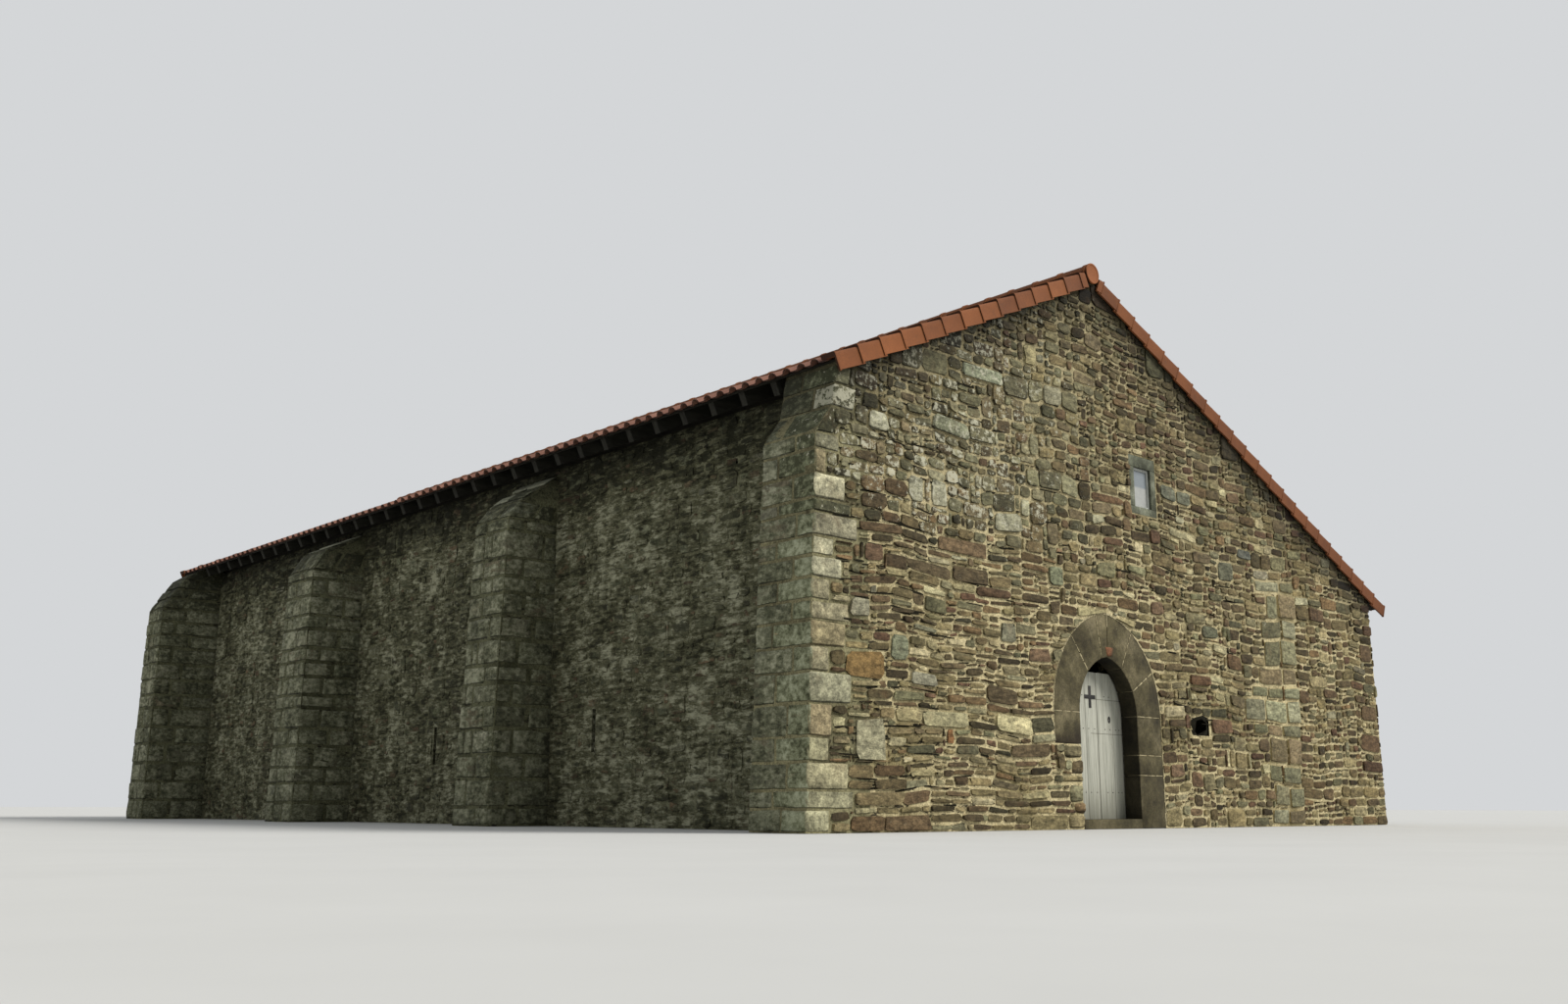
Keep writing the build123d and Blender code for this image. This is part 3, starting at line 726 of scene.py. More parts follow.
GABLE_STONE = StoneFinish("gable_stone", Slot.GABLE)
SIDE_STONE = StoneFinish(
    "side_stone", Slot.SIDE, "7f806a", 0.75, "9a9b84", 0.69, "37392a", 0.60, relief=0.030, coat=SIDE_COAT
)
BLOCK_LOOKS = {"bedding": 1.2, "relief": 0.024, "front_face_shade": 0.86, "eave_shade": 0.6, "coat": BLOCK_COAT}
QUOIN_LOOKS = {"lichen_from": 0.68, "bedding": 1.3, "eave_shade": 0.75, "coat": CORNER_COAT}
BLOCK_STONE = StoneFinish(
    "block_stone", Slot.ASHLAR, "6f705a", 0.5, "a3a48d", 0.69, "3c3e2b", 0.60, **BLOCK_LOOKS
)
QUOIN_STONE = StoneFinish("quoin_stone", Slot.ASHLAR, "8d8768", 0.45, **QUOIN_LOOKS)
ARCH_STONE = DressedFinish("arch_stone", Slot.DRESSED, doorway=True)
ORANGE_STONE = DressedFinish("orange_stone", Slot.DRESSED, "a07a58", "84553a", "57402c")
WINDOW_STONE = DressedFinish(
    "window_stone", Slot.DRESSED, "8f9180", "6c6f5d", "46483a", stain_from=0.55, reveal_shade=0.6
)
VERGE_CLAY = TileFinish("verge_clay", Slot.TERRACOTTA)
CAP_CLAY = TileFinish("cap_clay", Slot.TERRACOTTA, "b06a3c", "9a5a30", "87502c")
FIELD_CLAY = TileFinish("field_clay", Slot.TERRACOTTA, "a27765", "7c5647", "4b3329")
RAFTER_TIMBER = TimberFinish("rafter_timber", Slot.TIMBER, "383730", "191812", (0.08, 1.0, 0.3))
BOARD_TIMBER = TimberFinish("board_timber", Slot.TIMBER, "2b2820", "13120e")
DOOR_PAINT = PaintedBoards("door_paint", Slot.BOARDS)
WINDOW_PAINT = PaintedBoards("frame_paint", Slot.PAINT, "b2b4ad", "8f918a", "5d5d57")
BLACK_IRON = IronFinish("forged_iron", Slot.IRON)
PANE = PaneFinish("old_glass", Slot.PANE)
FLOOR = FloorFinish("floor_slabs", Slot.FLOOR)


def clear_selection() -> None:
    """Deselects everything, so that the next operator acts on the new piece alone."""
    if bpy.context.object is not None and bpy.context.object.mode != "OBJECT":
        bpy.ops.object.mode_set(mode="OBJECT")
    bpy.ops.object.select_all(action="DESELECT")


def take_up(piece: bpy.types.Object) -> None:
    """Selects one object alone and makes it the active one.

    Args:
        piece: the object.
    """
    clear_selection()
    piece.select_set(True)
    bpy.context.view_layer.objects.active = piece


@dataclass
class Master:
    """Mesh of one modelled shape, ready to be copied."""

    points: np.ndarray
    loops: np.ndarray
    sizes: np.ndarray

    def mirrored(self) -> "Master":
        """Turns the shape the other way round across its second axis.

        Returns:
            The mirrored shape.
        """
        faces = np.split(self.loops, np.cumsum(self.sizes)[:-1])
        turned = np.concatenate([face[::-1] for face in faces])
        return Master(self.points * (1.0, -1.0, 1.0), turned, self.sizes)


Test = Callable[[Vector, Vector], bool]
BLACK: Colour = (0.0, 0.0, 0.0, 1.0)
UNIT: Scale3 = (0.5, 0.5, 0.5)


class Bench:
    """A piece on the bench: a primitive or a copied node, shaped in edit mode."""

    def __init__(self, name: str, kind: str = "cube", size: Scale3 = EVEN, **settings: object) -> None:
        """Adds a primitive and gives it its size.

        Args:
            name: name of the piece.
            kind: Blender's word for the primitive.
            size: factor on each axis.
            settings: what the primitive's operator takes.
        """
        clear_selection()
        getattr(bpy.ops.mesh, f"primitive_{kind}_add")(**settings)
        self.piece = bpy.context.object
        self.piece.name = name
        self.piece.scale = size
        bpy.ops.object.transform_apply(location=True, rotation=True, scale=True)

    @classmethod
    def of_node(
        cls, node: str, name: str, merge: float = 0.00005, flat: float = math.radians(1.0)
    ) -> "Bench":
        """Takes a copy of a node of the part, merged from loose triangles into plain faces.

        Args:
            node: the node.
            name: name of the new piece.
            merge: distance under which corners are one.
            flat: angle under which faces are one.

        Returns:
            The bench with the copy on it.
        """
        bench = cls.__new__(cls)
        bench.piece = bpy.data.objects.new(name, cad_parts[node].data.copy())
        bench.piece.data.materials.clear()
        bpy.context.scene.collection.objects.link(bench.piece)
        take_up(bench.piece)
        bpy.ops.object.mode_set(mode="EDIT")
        bpy.ops.mesh.select_all(action="SELECT")
        bpy.ops.mesh.remove_doubles(threshold=merge)
        bpy.ops.mesh.dissolve_limited(angle_limit=flat)
        return bench

    def select(self, kind: str, test: Test = lambda middle, way: True) -> "Bench":
        """Selects what passes a test.

        Args:
            kind: VERT, EDGE or FACE.
            test: takes the middle and the normal, or an edge's direction.

        Returns:
            The bench.
        """
        if self.piece.mode != "EDIT":
            bpy.ops.object.mode_set(mode="EDIT")
        bpy.ops.mesh.select_mode(type=kind)
        bpy.ops.mesh.select_all(action="DESELECT")
        mesh = bmesh.from_edit_mesh(self.piece.data)
        if kind == "VERT":
            for point in mesh.verts:
                point.select_set(test(point.co, point.normal))
        elif kind == "EDGE":
            for edge in mesh.edges:
                start, end = (point.co for point in edge.verts)
                edge.select_set(test((start + end) / 2, (end - start).normalized()))
        else:
            for face in mesh.faces:
                face.select_set(test(face.calc_center_median(), face.normal))
        mesh.select_flush_mode()
        bmesh.update_edit_mesh(self.piece.data)
        return self

    def remove(self, test: Test) -> "Bench":
        """Deletes the faces that pass a test.

        Args:
            test: takes the middle and the normal of a face.

        Returns:
            The bench.
        """
        self.select("FACE", test)
        bpy.ops.mesh.delete(type="FACE")
        return self

    def bevel(self, width: float, segments: int = 1) -> "Bench":
        """Bevels the selected edges."""
        bpy.ops.mesh.bevel(offset=width, segments=segments, affect="EDGES")
        return self

    def extrude(self, *ways: Scale3) -> "Bench":
        """Extrudes the selection along one vector after another.

        Args:
            ways: the vectors.

        Returns:
            The bench.
        """
        for way in ways:
            bpy.ops.mesh.extrude_region_move(TRANSFORM_OT_translate={"value": way})
        return self

    def move(self, way: Scale3) -> "Bench":
        """Moves the selection."""
        bpy.ops.transform.translate(value=way)
        return self

    def resize(self, factors: Scale3, centre: Scale3 = (0, 0, 0)) -> "Bench":
        """Scales the selection about a point."""
        bpy.ops.transform.resize(value=factors, center_override=centre)
        return self

    def bisect(self, at: Scale3, normal: Scale3, fill: bool = False) -> "Bench":
        """Cuts off what lies against the normal of a plane.

        Args:
            at: a point of the plane.
            normal: its normal.
            fill: whether the cut is closed.

        Returns:
            The bench.
        """
        self.select("VERT")
        bpy.ops.mesh.bisect(plane_co=at, plane_no=normal, clear_inner=True, use_fill=fill)
        return self

    def roughen(self, amount: float, seed: int) -> "Bench":
        """Moves every selected point by a small seeded amount."""
        bpy.ops.transform.vertex_random(offset=amount, uniform=1.0, normal=0.0, seed=seed)
        return self

    def leave_edit(self) -> bpy.types.Object:
        """Ends edit mode.

        Returns:
            The object on the bench.
        """
        if self.piece.mode == "EDIT":
            bpy.ops.object.mode_set(mode="OBJECT")
        return self.piece

    def modifier(self, kind: str, **settings: object) -> "Bench":
        """Adds a modifier and applies it.

        Args:
            kind: Blender's word for the modifier.
            settings: its properties.

        Returns:
            The bench.
        """
        added = self.leave_edit().modifiers.new(kind, kind)
        for key, value in settings.items():
            setattr(added, key, value)
        bpy.ops.object.modifier_apply(modifier=added.name)
        return self

    def wear(self, width: float, segments: int = 2, angle: float = 50.0) -> "Bench":
        """Rounds every edge that is sharper than an angle in degrees."""
        limit = {"limit_method": "ANGLE", "angle_limit": math.radians(angle)}
        return self.modifier("BEVEL", width=width, segments=segments, **limit)

    def thicken(self, thickness: float) -> "Bench":
        """Gives a sheet its thickness on the inside."""
        return self.modifier("SOLIDIFY", thickness=thickness, offset=-1)

    def read(self) -> Master:
        """Reads the mesh into arrays and clears the bench.

        Returns:
            The shape.
        """
        mesh = self.leave_edit().data
        points = np.zeros(len(mesh.vertices) * 3)
        mesh.vertices.foreach_get("co", points)
        loops = np.zeros(len(mesh.loops), dtype=np.int32)
        mesh.loops.foreach_get("vertex_index", loops)
        sizes = np.zeros(len(mesh.polygons), dtype=np.int32)
        mesh.polygons.foreach_get("loop_total", sizes)
        bpy.data.objects.remove(self.piece)
        bpy.data.meshes.remove(mesh)
        return Master(points.reshape(-1, 3), loops, sizes)

    def place(self, finish: Finish, smooth: float, *nodes: str, body: Body = Body.BUILDING) -> None:
        """Finishes the piece where it is and hangs it on its body."""
        settle(self.leave_edit(), finish, smooth, nodes, body)


def settle(piece: bpy.types.Object, finish: Finish, smooth: float, nodes: Sequence[str], body: Body) -> None:
    """Gives a finished object its material, body and shading, and reports it.

    Args:
        piece: the object.
        finish: what it is made of.
        smooth: angle in degrees under which faces join smoothly, or 0 for flat faces.
        nodes: nodes of the part that it replaces.
        body: body that it rides on.
    """
    take_up(piece)
    piece.data.materials.clear()
    piece.data.materials.append(finish.material())
    if smooth:
        bpy.ops.object.shade_smooth_by_angle(angle=math.radians(smooth))
    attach(piece, body.value)
    if nodes:
        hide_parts(*nodes)
    triangles = sum(len(face.vertices) - 2 for face in piece.data.polygons)
    log.info("%s: %d triangles", piece.name, triangles)


class Heap:
    """Copies of modelled shapes that make up one piece."""

    def __init__(self) -> None:
        """Starts with nothing in it."""
        self.points: list[np.ndarray] = []
        self.loops: list[np.ndarray] = []
        self.sizes: list[np.ndarray] = []
        self.colours: list[np.ndarray] = []
        self.shares: list[np.ndarray] = []
        self.count = 0

    def add(
        self, master: Master, points: np.ndarray, share: float | np.ndarray = 1.0, colour: Colour = BLACK
    ) -> None:
        """Adds one copy with its own mesh.

        Args:
            master: the shape that is copied.
            points: where its points go.
            share: what its points carry as face_share.
            colour: the copy's own colour.
        """
        self.points.append(points)
        self.loops.append(master.loops + self.count)
        self.sizes.append(master.sizes)
        self.colours.append(np.tile(np.array(colour, dtype=np.float32), (len(points), 1)))
        self.shares.append(np.broadcast_to(np.asarray(share, dtype=np.float32), (len(points),)))
        self.count += len(points)

    def build(
        self, name: str, finish: Finish, smooth: float, *nodes: str, body: Body = Body.BUILDING
    ) -> None:
        """Joins the copies into one object.

        Args:
            name: name of the piece.
            finish: what it is made of.
            smooth: angle in degrees under which faces join smoothly.
            nodes: nodes of the part that it replaces.
            body: body that it rides on.
        """
        points = np.concatenate(self.points)
        loops = np.concatenate(self.loops)
        sizes = np.concatenate(self.sizes)
        mesh = bpy.data.meshes.new(name)
        mesh.vertices.add(len(points))
        mesh.vertices.foreach_set("co", points.astype(np.float32).ravel())
        mesh.loops.add(len(loops))
        mesh.loops.foreach_set("vertex_index", loops)
        mesh.polygons.add(len(sizes))
        mesh.polygons.foreach_set("loop_start", np.concatenate([[0], np.cumsum(sizes)[:-1]]).astype(np.int32))
        colours = mesh.attributes.new("stone_colour", "FLOAT_COLOR", "POINT")
        colours.data.foreach_set("color", np.concatenate(self.colours).ravel())
        shares = mesh.attributes.new("face_share", "FLOAT", "POINT")
        shares.data.foreach_set("value", np.concatenate(self.shares))
        mesh.update(calc_edges=True)
        piece = bpy.data.objects.new(name, mesh)
        bpy.context.scene.collection.objects.link(piece)
        settle(piece, finish, smooth, nodes, body)


Box = tuple[float, float, float, float]
Span = tuple[float, float]
Heights = float | np.ndarray


@dataclass(frozen=True)
class Sway:
    """Slow rise and fall of the courses, which dies away beside openings and corners."""

    calm: tuple[Box, ...] = ()
    reach: float = 0.5

    def lift(self, u: np.ndarray, v: np.ndarray) -> np.ndarray:
        """How far the courses lie above the level.

        Args:
            u: places along the wall.
            v: their heights.

        Returns:
            The lift at each place.
        """
        wave = 0.030 * np.sin(1.15 * u + 0.7 * v + 0.4) + 0.015 * np.sin(2.9 * u - 1.3 * v + 2.0)
        wave += 0.007 * np.sin(6.3 * u + 0.9 * v) + 0.004 * np.sin(11.0 * u - 4.0 * v)
        share = np.clip(v / self.reach, 0, 1)
        for left, right, low, high in self.calm:
            away = np.hypot(np.maximum(left - u, u - right).clip(0), np.maximum(low - v, v - high).clip(0))
            share = np.minimum(share, np.clip(away / self.reach, 0, 1))
        return wave * share


@dataclass(frozen=True)
class Elevation:
    """Flat side of the building, with u to the right as seen from outside and v upwards."""

    origin: tuple[float, float]
    along: tuple[float, float]
    outward: tuple[float, float]

    def place(self, u: np.ndarray, v: np.ndarray, out: np.ndarray) -> np.ndarray:
        """Turns places on the elevation into points of the part's frame.

        Args:
            u: places along it.
            v: heights.
            out: how far the points stand out of it.

        Returns:
            The points.
        """
        x = self.origin[0] + u * self.along[0] + out * self.outward[0]
        y = self.origin[1] + u * self.along[1] + out * self.outward[1]
        return np.stack([x, y, v], axis=1)


@dataclass(frozen=True)
class Habit:
    """How the stones of one wall are chosen and laid."""

    heights: Scale3
    lengths: tuple[float, float]
    longest: float
    joint: float
    proud: tuple[float, float]
    big_share: float
    big_heights: tuple[float, float]
    level_share: float = 0.6
    thinnest: float = 0.035
    shortest: float = 0.07


@dataclass
class Stone:
    """One laid stone: its four corners on the elevation and how it differs from the rest."""

    quad: np.ndarray
    big: bool = False
    colour: str = ""
    dressed: bool = False

    def middle(self) -> np.ndarray:
        """Middle of the stone."""
        return self.quad.mean(axis=0)


class RubbleLayer:
    """Lays random rubble from the ground up, always on the lowest place that is left."""

    cell = 0.015
    level_step = 0.011
    level_rise = 0.055
    sliver = 0.025
    narrow = 0.05
    same_bed = 0.022
    free_jump = 0.03
    tilt = 0.006
    passes = 6

    def __init__(
        self, start: float, end: float, habit: Habit, seed: int, zones: Sequence[tuple[Box, Habit]] = ()
    ) -> None:
        """Marks out the wall.

        Args:
            start: where the wall starts along the elevation.
            end: where it ends.
            habit: how its stones are chosen.
            seed: seed of the choices.
            zones: places that are laid in another habit.
        """
        self.habit = habit
        self.zones = zones
        self.chance = np.random.default_rng(seed)
        self.u = np.arange(start + self.cell / 2, end, self.cell)
        self.sky = np.zeros(len(self.u))
        self.curved = np.full(len(self.u), np.nan)
        self.lows: list[np.ndarray] = []
        self.highs: list[np.ndarray] = []

    def keep_out(self, start: float, end: float, low: Heights, high: Heights, curved: bool = False) -> None:
        """Keeps the stones out of a place.

        Args:
            start: where it starts along the elevation.
            end: where it ends.
            low: its lowest height, for all columns or each.
            high: its highest height.
            curved: whether the stones beside it follow its curve.
        """
        inside = (self.u > start) & (self.u < end)
        self.lows.append(np.where(inside, low, np.inf))
        self.highs.append(np.where(inside, high, -np.inf))
        if curved:
            self.curved = np.where(inside, high, self.curved)

    def ceilings(self, part: slice) -> tuple[np.ndarray, np.ndarray]:
        """Finds the next place above the stones that is kept free.

        Args:
            part: the columns that are asked about.

        Returns:
            Bottom and top of that place at each column.
        """
        lows, highs = self.low_table[:, part], self.high_table[:, part]
        lows = np.where(highs > self.sky[part] + 0.001, lows, np.inf)
        first = lows.argmin(axis=0)
        columns = np.arange(lows.shape[1])
        return lows[first, columns], highs[first, columns]

    def settle(self, part: slice) -> None:
        """Steps over the places kept free that the stones have reached.

        Args:
            part: the columns that are looked at.
        """
        for _ in range(self.passes):
            low, high = self.ceilings(part)
            reached = (low - self.sky[part] < self.habit.thinnest) & np.isfinite(low)
            if not reached.any():
                return
            self.sky[part] = np.where(reached, high, self.sky[part])

    def ledge(self, middle: int) -> tuple[int, int]:
        """Finds the level place round the lowest column.

        Args:
            middle: the lowest column.

        Returns:
            Its first column, and its last one plus one.
        """
        base = self.sky[middle]
        start, end = middle, middle + 1
        while start > 0 and self.joins(start - 1, start, base):
            start -= 1
        while end < len(self.u) and self.joins(end, end - 1, base):
            end += 1
        return start, end

    def joins(self, column: int, beside: int, base: float) -> bool:
        """Whether a column is level enough with the one beside it to carry the same stone."""
        height = self.sky[column]
        return abs(height - self.sky[beside]) < self.level_step and abs(height - base) < self.level_rise

    def lay(self) -> list[Stone]:
        """Lays the whole wall.

        Returns:
            The stones, from the ground up.
        """
        self.low_table = np.stack(self.lows)
        self.high_table = np.stack(self.highs)
        self.settle(slice(0, len(self.u)))
        stones: list[Stone] = []
        while True:
            middle = int(np.argmin(self.sky))
            if not np.isfinite(self.sky[middle]):
                return stones
            stone = self.lay_one(*self.ledge(middle))
            if stone is not None:
                stones.append(stone)

    def habit_at(self, u: float, v: float) -> Habit:
        """Finds the habit of the zone that holds a place.

        Args:
            u: where it is along the wall.
            v: its height.

        Returns:
            The habit.
        """
        for (left, right, low, high), habit in self.zones:
            if left < u < right and low <= v < high:
                return habit
        return self.habit

    def stone_height(self, habit: Habit, steps: list[float]) -> float:
        """Chooses the height of a stone.

        Args:
            habit: how the stones are chosen here.
            steps: heights at which it would end level with the stones beside it.

        Returns:
            The height.
        """
        chance = self.chance
        big = chance.random() < habit.big_share
        height = chance.triangular(*habit.heights)
        if big:
            height = chance.uniform(*habit.big_heights)
        self.big = big
        if steps and chance.random() < habit.level_share:
            height = min(steps, key=lambda step: abs(step - height))
        for step in steps:
            if abs(step - height) < self.same_bed:
                height = step
        return height

    def beside_curve(self, column: int, top: float) -> bool:
        """Whether a column holds nothing but the curve that a stone may lap over."""
        return abs(self.curved[column] - self.sky[column]) < 0.001 and self.sky[column] < top

    def lay_one(self, start: int, end: int) -> Stone | None:
        """Lays one stone on a level place.

        Args:
            start: first column of the place.
            end: last column of the place, plus one.

        Returns:
            The stone, or None where mortar alone fills the place.
        """
        chance, cell = self.chance, self.cell
        habit = self.habit_at(self.u[(start + end) // 2], self.sky[start])
        left = self.sky[start - 1] if start > 0 else np.inf
        right = self.sky[end] if end < len(self.u) else np.inf
        width = (end - start) * cell
        base = max(self.sky[start], self.sky[end - 1])
        lower = min(left, right)
        if width < self.narrow and np.isfinite(lower):
            if width < self.sliver or lower - base < habit.thinnest:
                self.sky[start:end] = lower
                self.settle(slice(start, end))
                return None
        tallest = 1.5 * habit.heights[2]
        steps = [step - base for step in (left, right) if habit.thinnest < step - base < tallest]
        height = self.stone_height(habit, steps)
        length = float(np.clip(height * chance.uniform(*habit.lengths), habit.shortest, habit.longest))
        if width <= length * 1.3:
            length = width
        elif width - length < habit.shortest:
            length = width / 2
        count = max(1, round(length / cell))
        from_left = left > right if np.isfinite(left) != np.isfinite(right) else chance.random() < 0.5
        if from_left:
            end = min(end, start + count)
        else:
            start = max(start, end - count)
        low, _ = self.ceilings(slice(start, end))
        top = base + height
        if top > low.min() - habit.thinnest:
            breaks = np.flatnonzero(np.abs(np.diff(np.minimum(low, base + 3.0))) > self.free_jump)
            if len(breaks) and from_left:
                end = start + int(breaks[0]) + 1
                low = low[: end - start]
            elif len(breaks):
                start = start + int(breaks[-1]) + 1
                low = low[-(end - start) :]
            if top > low.min() - habit.thinnest:
                top = float(low.max())
        tilt = chance.uniform(-self.tilt, self.tilt)
        top_left = min(top + tilt, low[0])
        top_right = min(top - tilt, low[-1])
        near, far = start, end
        while near > 0 and self.beside_curve(near - 1, top_left):
            near -= 1
        while far < len(self.u) and self.beside_curve(far, top_right):
            far += 1
        foot_left, foot_right = self.sky[start], self.sky[end - 1]
        u = self.u[[start, end - 1, near, far - 1]] + np.array([-1, 1, -1, 1]) * (cell / 2)
        quad = np.stack([u, [foot_left, foot_right, top_left, top_right]], axis=1)
        self.sky[near:start] = top_left
        self.sky[end:far] = top_right
        self.sky[start:end] = np.linspace(top_left, top_right, end - start)
        self.settle(slice(near, far))
        if max(top_left - foot_left, top_right - foot_right) < habit.thinnest * 0.8:
            return None
        return Stone(quad, self.big)


# Ways from each corner of a stone towards its middle, and the width of a modelled stone's ends.
INWARD = np.array([[1, 1], [-1, 1], [1, -1], [-1, -1]])
ROUGH_END = 0.25
BLOCK_END = 0.1


class StoneShapes:
    """Modelled stones that the walls copy."""

    corners = (0.12, 0.17, 0.21, 0.15, 0.19, 0.13, 0.23, 0.16)
    rim = 0.07

    def __init__(self) -> None:
        """Models eight rough stones and four squared blocks."""
        self.rough = [self.rough_stone(seed, corner) for seed, corner in enumerate(self.corners, 1)]
        self.squared = [self.squared_block(seed) for seed in range(1, 5)]

    def rough_stone(self, seed: int, corner: float) -> Master:
        """Models a flat rough stone with its corners knocked off and its face worn round.

        Args:
            seed: seed of its unevenness.
            corner: width that is knocked off each corner.

        Returns:
            The shape.
        """
        bench = Bench("rough_stone", size=UNIT)
        bench.select("EDGE", lambda middle, way: abs(way.z) > 0.9).bevel(corner)
        bench.select("EDGE", lambda middle, way: middle.z > 0.49 and abs(way.z) < 0.1).bevel(self.rim)
        bench.select("VERT", lambda middle, normal: middle.z > -0.4).roughen(0.06, seed)
        return bench.read()

    def squared_block(self, seed: int) -> Master:
        """Models a squared block with worn edges and an uneven face.

        Args:
            seed: seed of its unevenness.

        Returns:
            The shape.
        """
        bench = Bench("squared_block", size=UNIT).select("VERT")
        bpy.ops.mesh.subdivide(number_cuts=2)
        bench.wear(BLOCK_END, 1, 60).select("VERT").roughen(0.016, seed)
        return bench.read()

    def pick_block(self, chance: np.random.Generator) -> Master:
        """One of the squared blocks."""
        return self.squared[chance.integers(len(self.squared))]


@dataclass(frozen=True)
class Palette:
    """Colours of the stones in one place, each with its share."""

    tones: str
    shares: tuple[float, ...]
    spread: float = 0.38

    def pick(self, chance: np.random.Generator, age: float = 0.0) -> Colour:
        """Picks a colour and varies it a little.

        Args:
            chance: source of the choice.
            age: how much lichen the stone bears, between 0 and 1.

        Returns:
            The colour, with the stone's age in its last channel.
        """
        shares = np.array(self.shares)
        tone = self.tones.split()[chance.choice(len(shares), p=shares / shares.sum())]
        base = np.array(tint(tone)[:3]) * chance.uniform(1 - self.spread, 1 + self.spread)
        base = base * chance.uniform(0.98, 1.02, 3)
        return (float(base[0]), float(base[1]), float(base[2]), age * chance.uniform(0.3, 1.6))


BROWN_STONES = Palette(
    "766b4e 655a41 877e60 554a37 5d4e3a 6b5940 5b4737 6d6a51 9d9576 403929",
    (3.6, 3.8, 1.8, 2.6, 2.0, 1.2, 0.6, 1.2, 0.9, 1.8),
)
GREY_STONES = Palette("6e6a52 7e7a61 5c5944 928e77 675d47 4c4836 75624b", (4.0, 2.2, 3.0, 0.8, 2.4, 2.4, 0.5))
SHADE_STONES = Palette("5f604b 4c4d3a 71715b 5c513e 3c3c2e 5a4b39 83826c", (3, 3, 1.4, 1.6, 2.2, 1.6, 0.5))
BLOCK_TONES = Palette("6e6e59 7b7b65 5f604c 8a8a74 69634f", (3.0, 2.2, 2.4, 0.8, 1.0), 0.2)
QUOIN_TONES = Palette("918c70 a29f83 7e7a64 94957b 877b5f", (3.0, 2.6, 2.0, 1.0, 0.6), 0.2)
STRIP_TONES = Palette("7d7a5e 8f8c70 6c694f 786b50", (3.0, 2.0, 2.4, 1.2), 0.30)
HEAD_TONES = Palette("4f4e3a 5d5c47 403f2c 7d7c68", (3.0, 2.0, 2.0, 0.6), 0.25)
WARM_LIGHT: Scale3 = (1.07, 1.06, 1.01)

GABLE_HABIT = Habit((0.05, 0.09, 0.165), (1.0, 3.4), 0.50, 0.036, (0.006, 0.028), 0.05, (0.17, 0.23))
FLAT_HABIT = Habit((0.035, 0.07, 0.13), (1.6, 5.5), 0.70, 0.030, (0.008, 0.036), 0.05, (0.15, 0.22))
LUMPY_HABIT = Habit((0.06, 0.105, 0.19), (1.0, 2.7), 0.50, 0.034, (0.006, 0.034), 0.06, (0.20, 0.28))
SIDE_HABIT = Habit((0.06, 0.11, 0.20), (1.1, 2.6), 0.60, 0.060, (0.003, 0.016), 0.07, (0.22, 0.32))
PLAIN_HABIT = Habit((0.06, 0.11, 0.19), (1.2, 3.4), 0.60, 0.034, (0.005, 0.024), 0.05, (0.2, 0.28))


@dataclass
class Wall:
    """One elevation of stones, gathered into a piece."""

    side: Elevation
    habit: Habit
    shapes: StoneShapes
    seed: int
    sway: Sway
    rough_end: float = 0.055
    block_end: float = 0.014
    sunk: float = 0.012
    big_proud: float = 0.006

    def __post_init__(self) -> None:
        """Gets ready to set stones on the elevation."""
        self.chance = np.random.default_rng(self.seed)
        self.heap = Heap()

    def set_stone(self, stone: Stone, colour: Colour) -> None:
        """Copies a rough stone or a squared block into its place.

        Args:
            stone: the laid stone.
            colour: its colour.
        """
        chance = self.chance
        quad = stone.quad + self.habit.joint / 2 * chance.uniform(0.6, 1.3, (4, 2)) * INWARD
        quad[2:, 1] = np.maximum(quad[2:, 1], quad[:2, 1] + 0.006)
        width = max(quad[1, 0] - quad[0, 0], 0.02)
        height = max(quad[2, 1] - quad[0, 1], 0.02)
        if stone.dressed:
            shape = self.shapes.pick_block(chance)
            s, t, depth = (shape.points + 0.5).T
            s = fit_ends(s, BLOCK_END, self.block_end / width)
            t = fit_ends(t, BLOCK_END, self.block_end / height)
        else:
            shape = self.shapes.rough[chance.integers(len(self.shapes.rough))]
            flip = chance.random(2) < 0.5
            s, t, depth = (shape.points + 0.5).T
            s = fit_ends(s, ROUGH_END, self.rough_end / width)
            s = 1 - s if flip[0] else s
            t = 1 - t if flip[1] else t
            s = s + chance.normal(0, 0.010, len(s)) / max(width, 0.08) * (s > 0.01)
            t = t + chance.normal(0, 0.004, len(t)) / max(height, 0.04)
            shape = shape.mirrored() if flip[0] != flip[1] else shape
        across = ((1 - s) * (1 - t))[:, None] * quad[0] + (s * (1 - t))[:, None] * quad[1]
        across += ((1 - s) * t)[:, None] * quad[2] + (s * t)[:, None] * quad[3]
        proud = chance.uniform(*self.habit.proud) + (self.big_proud if stone.big else 0.0)
        lean = chance.uniform(-0.35, 0.35) * (s - 0.5) + chance.uniform(-0.5, 0.5) * (t - 0.5)
        out = -self.sunk + depth * (self.sunk + proud * (1 + lean))
        across[:, 1] += self.sway.lift(across[:, 0], across[:, 1])
        share = np.where(depth > 0.97, 1.0, np.where(depth > 0.8, 0.55, 0.0))
        self.heap.add(shape, self.side.place(across[:, 0], across[:, 1], out), share, colour)


def fit_ends(values: np.ndarray, share: float, wanted: float) -> np.ndarray:
    """Moves the ends of a unit shape so that they keep a width of their own.

    Args:
        values: places between 0 and 1.
        share: width of an end in the shape.
        wanted: width that the end should have.

    Returns:
        The moved places.
    """
    wanted = min(wanted, share if share > 0.2 else 0.4)
    middle = np.interp(values, [0, share, 1 - share, 1], [0, wanted, 1 - wanted, 1])
    return middle + (values - np.clip(values, 0, 1))


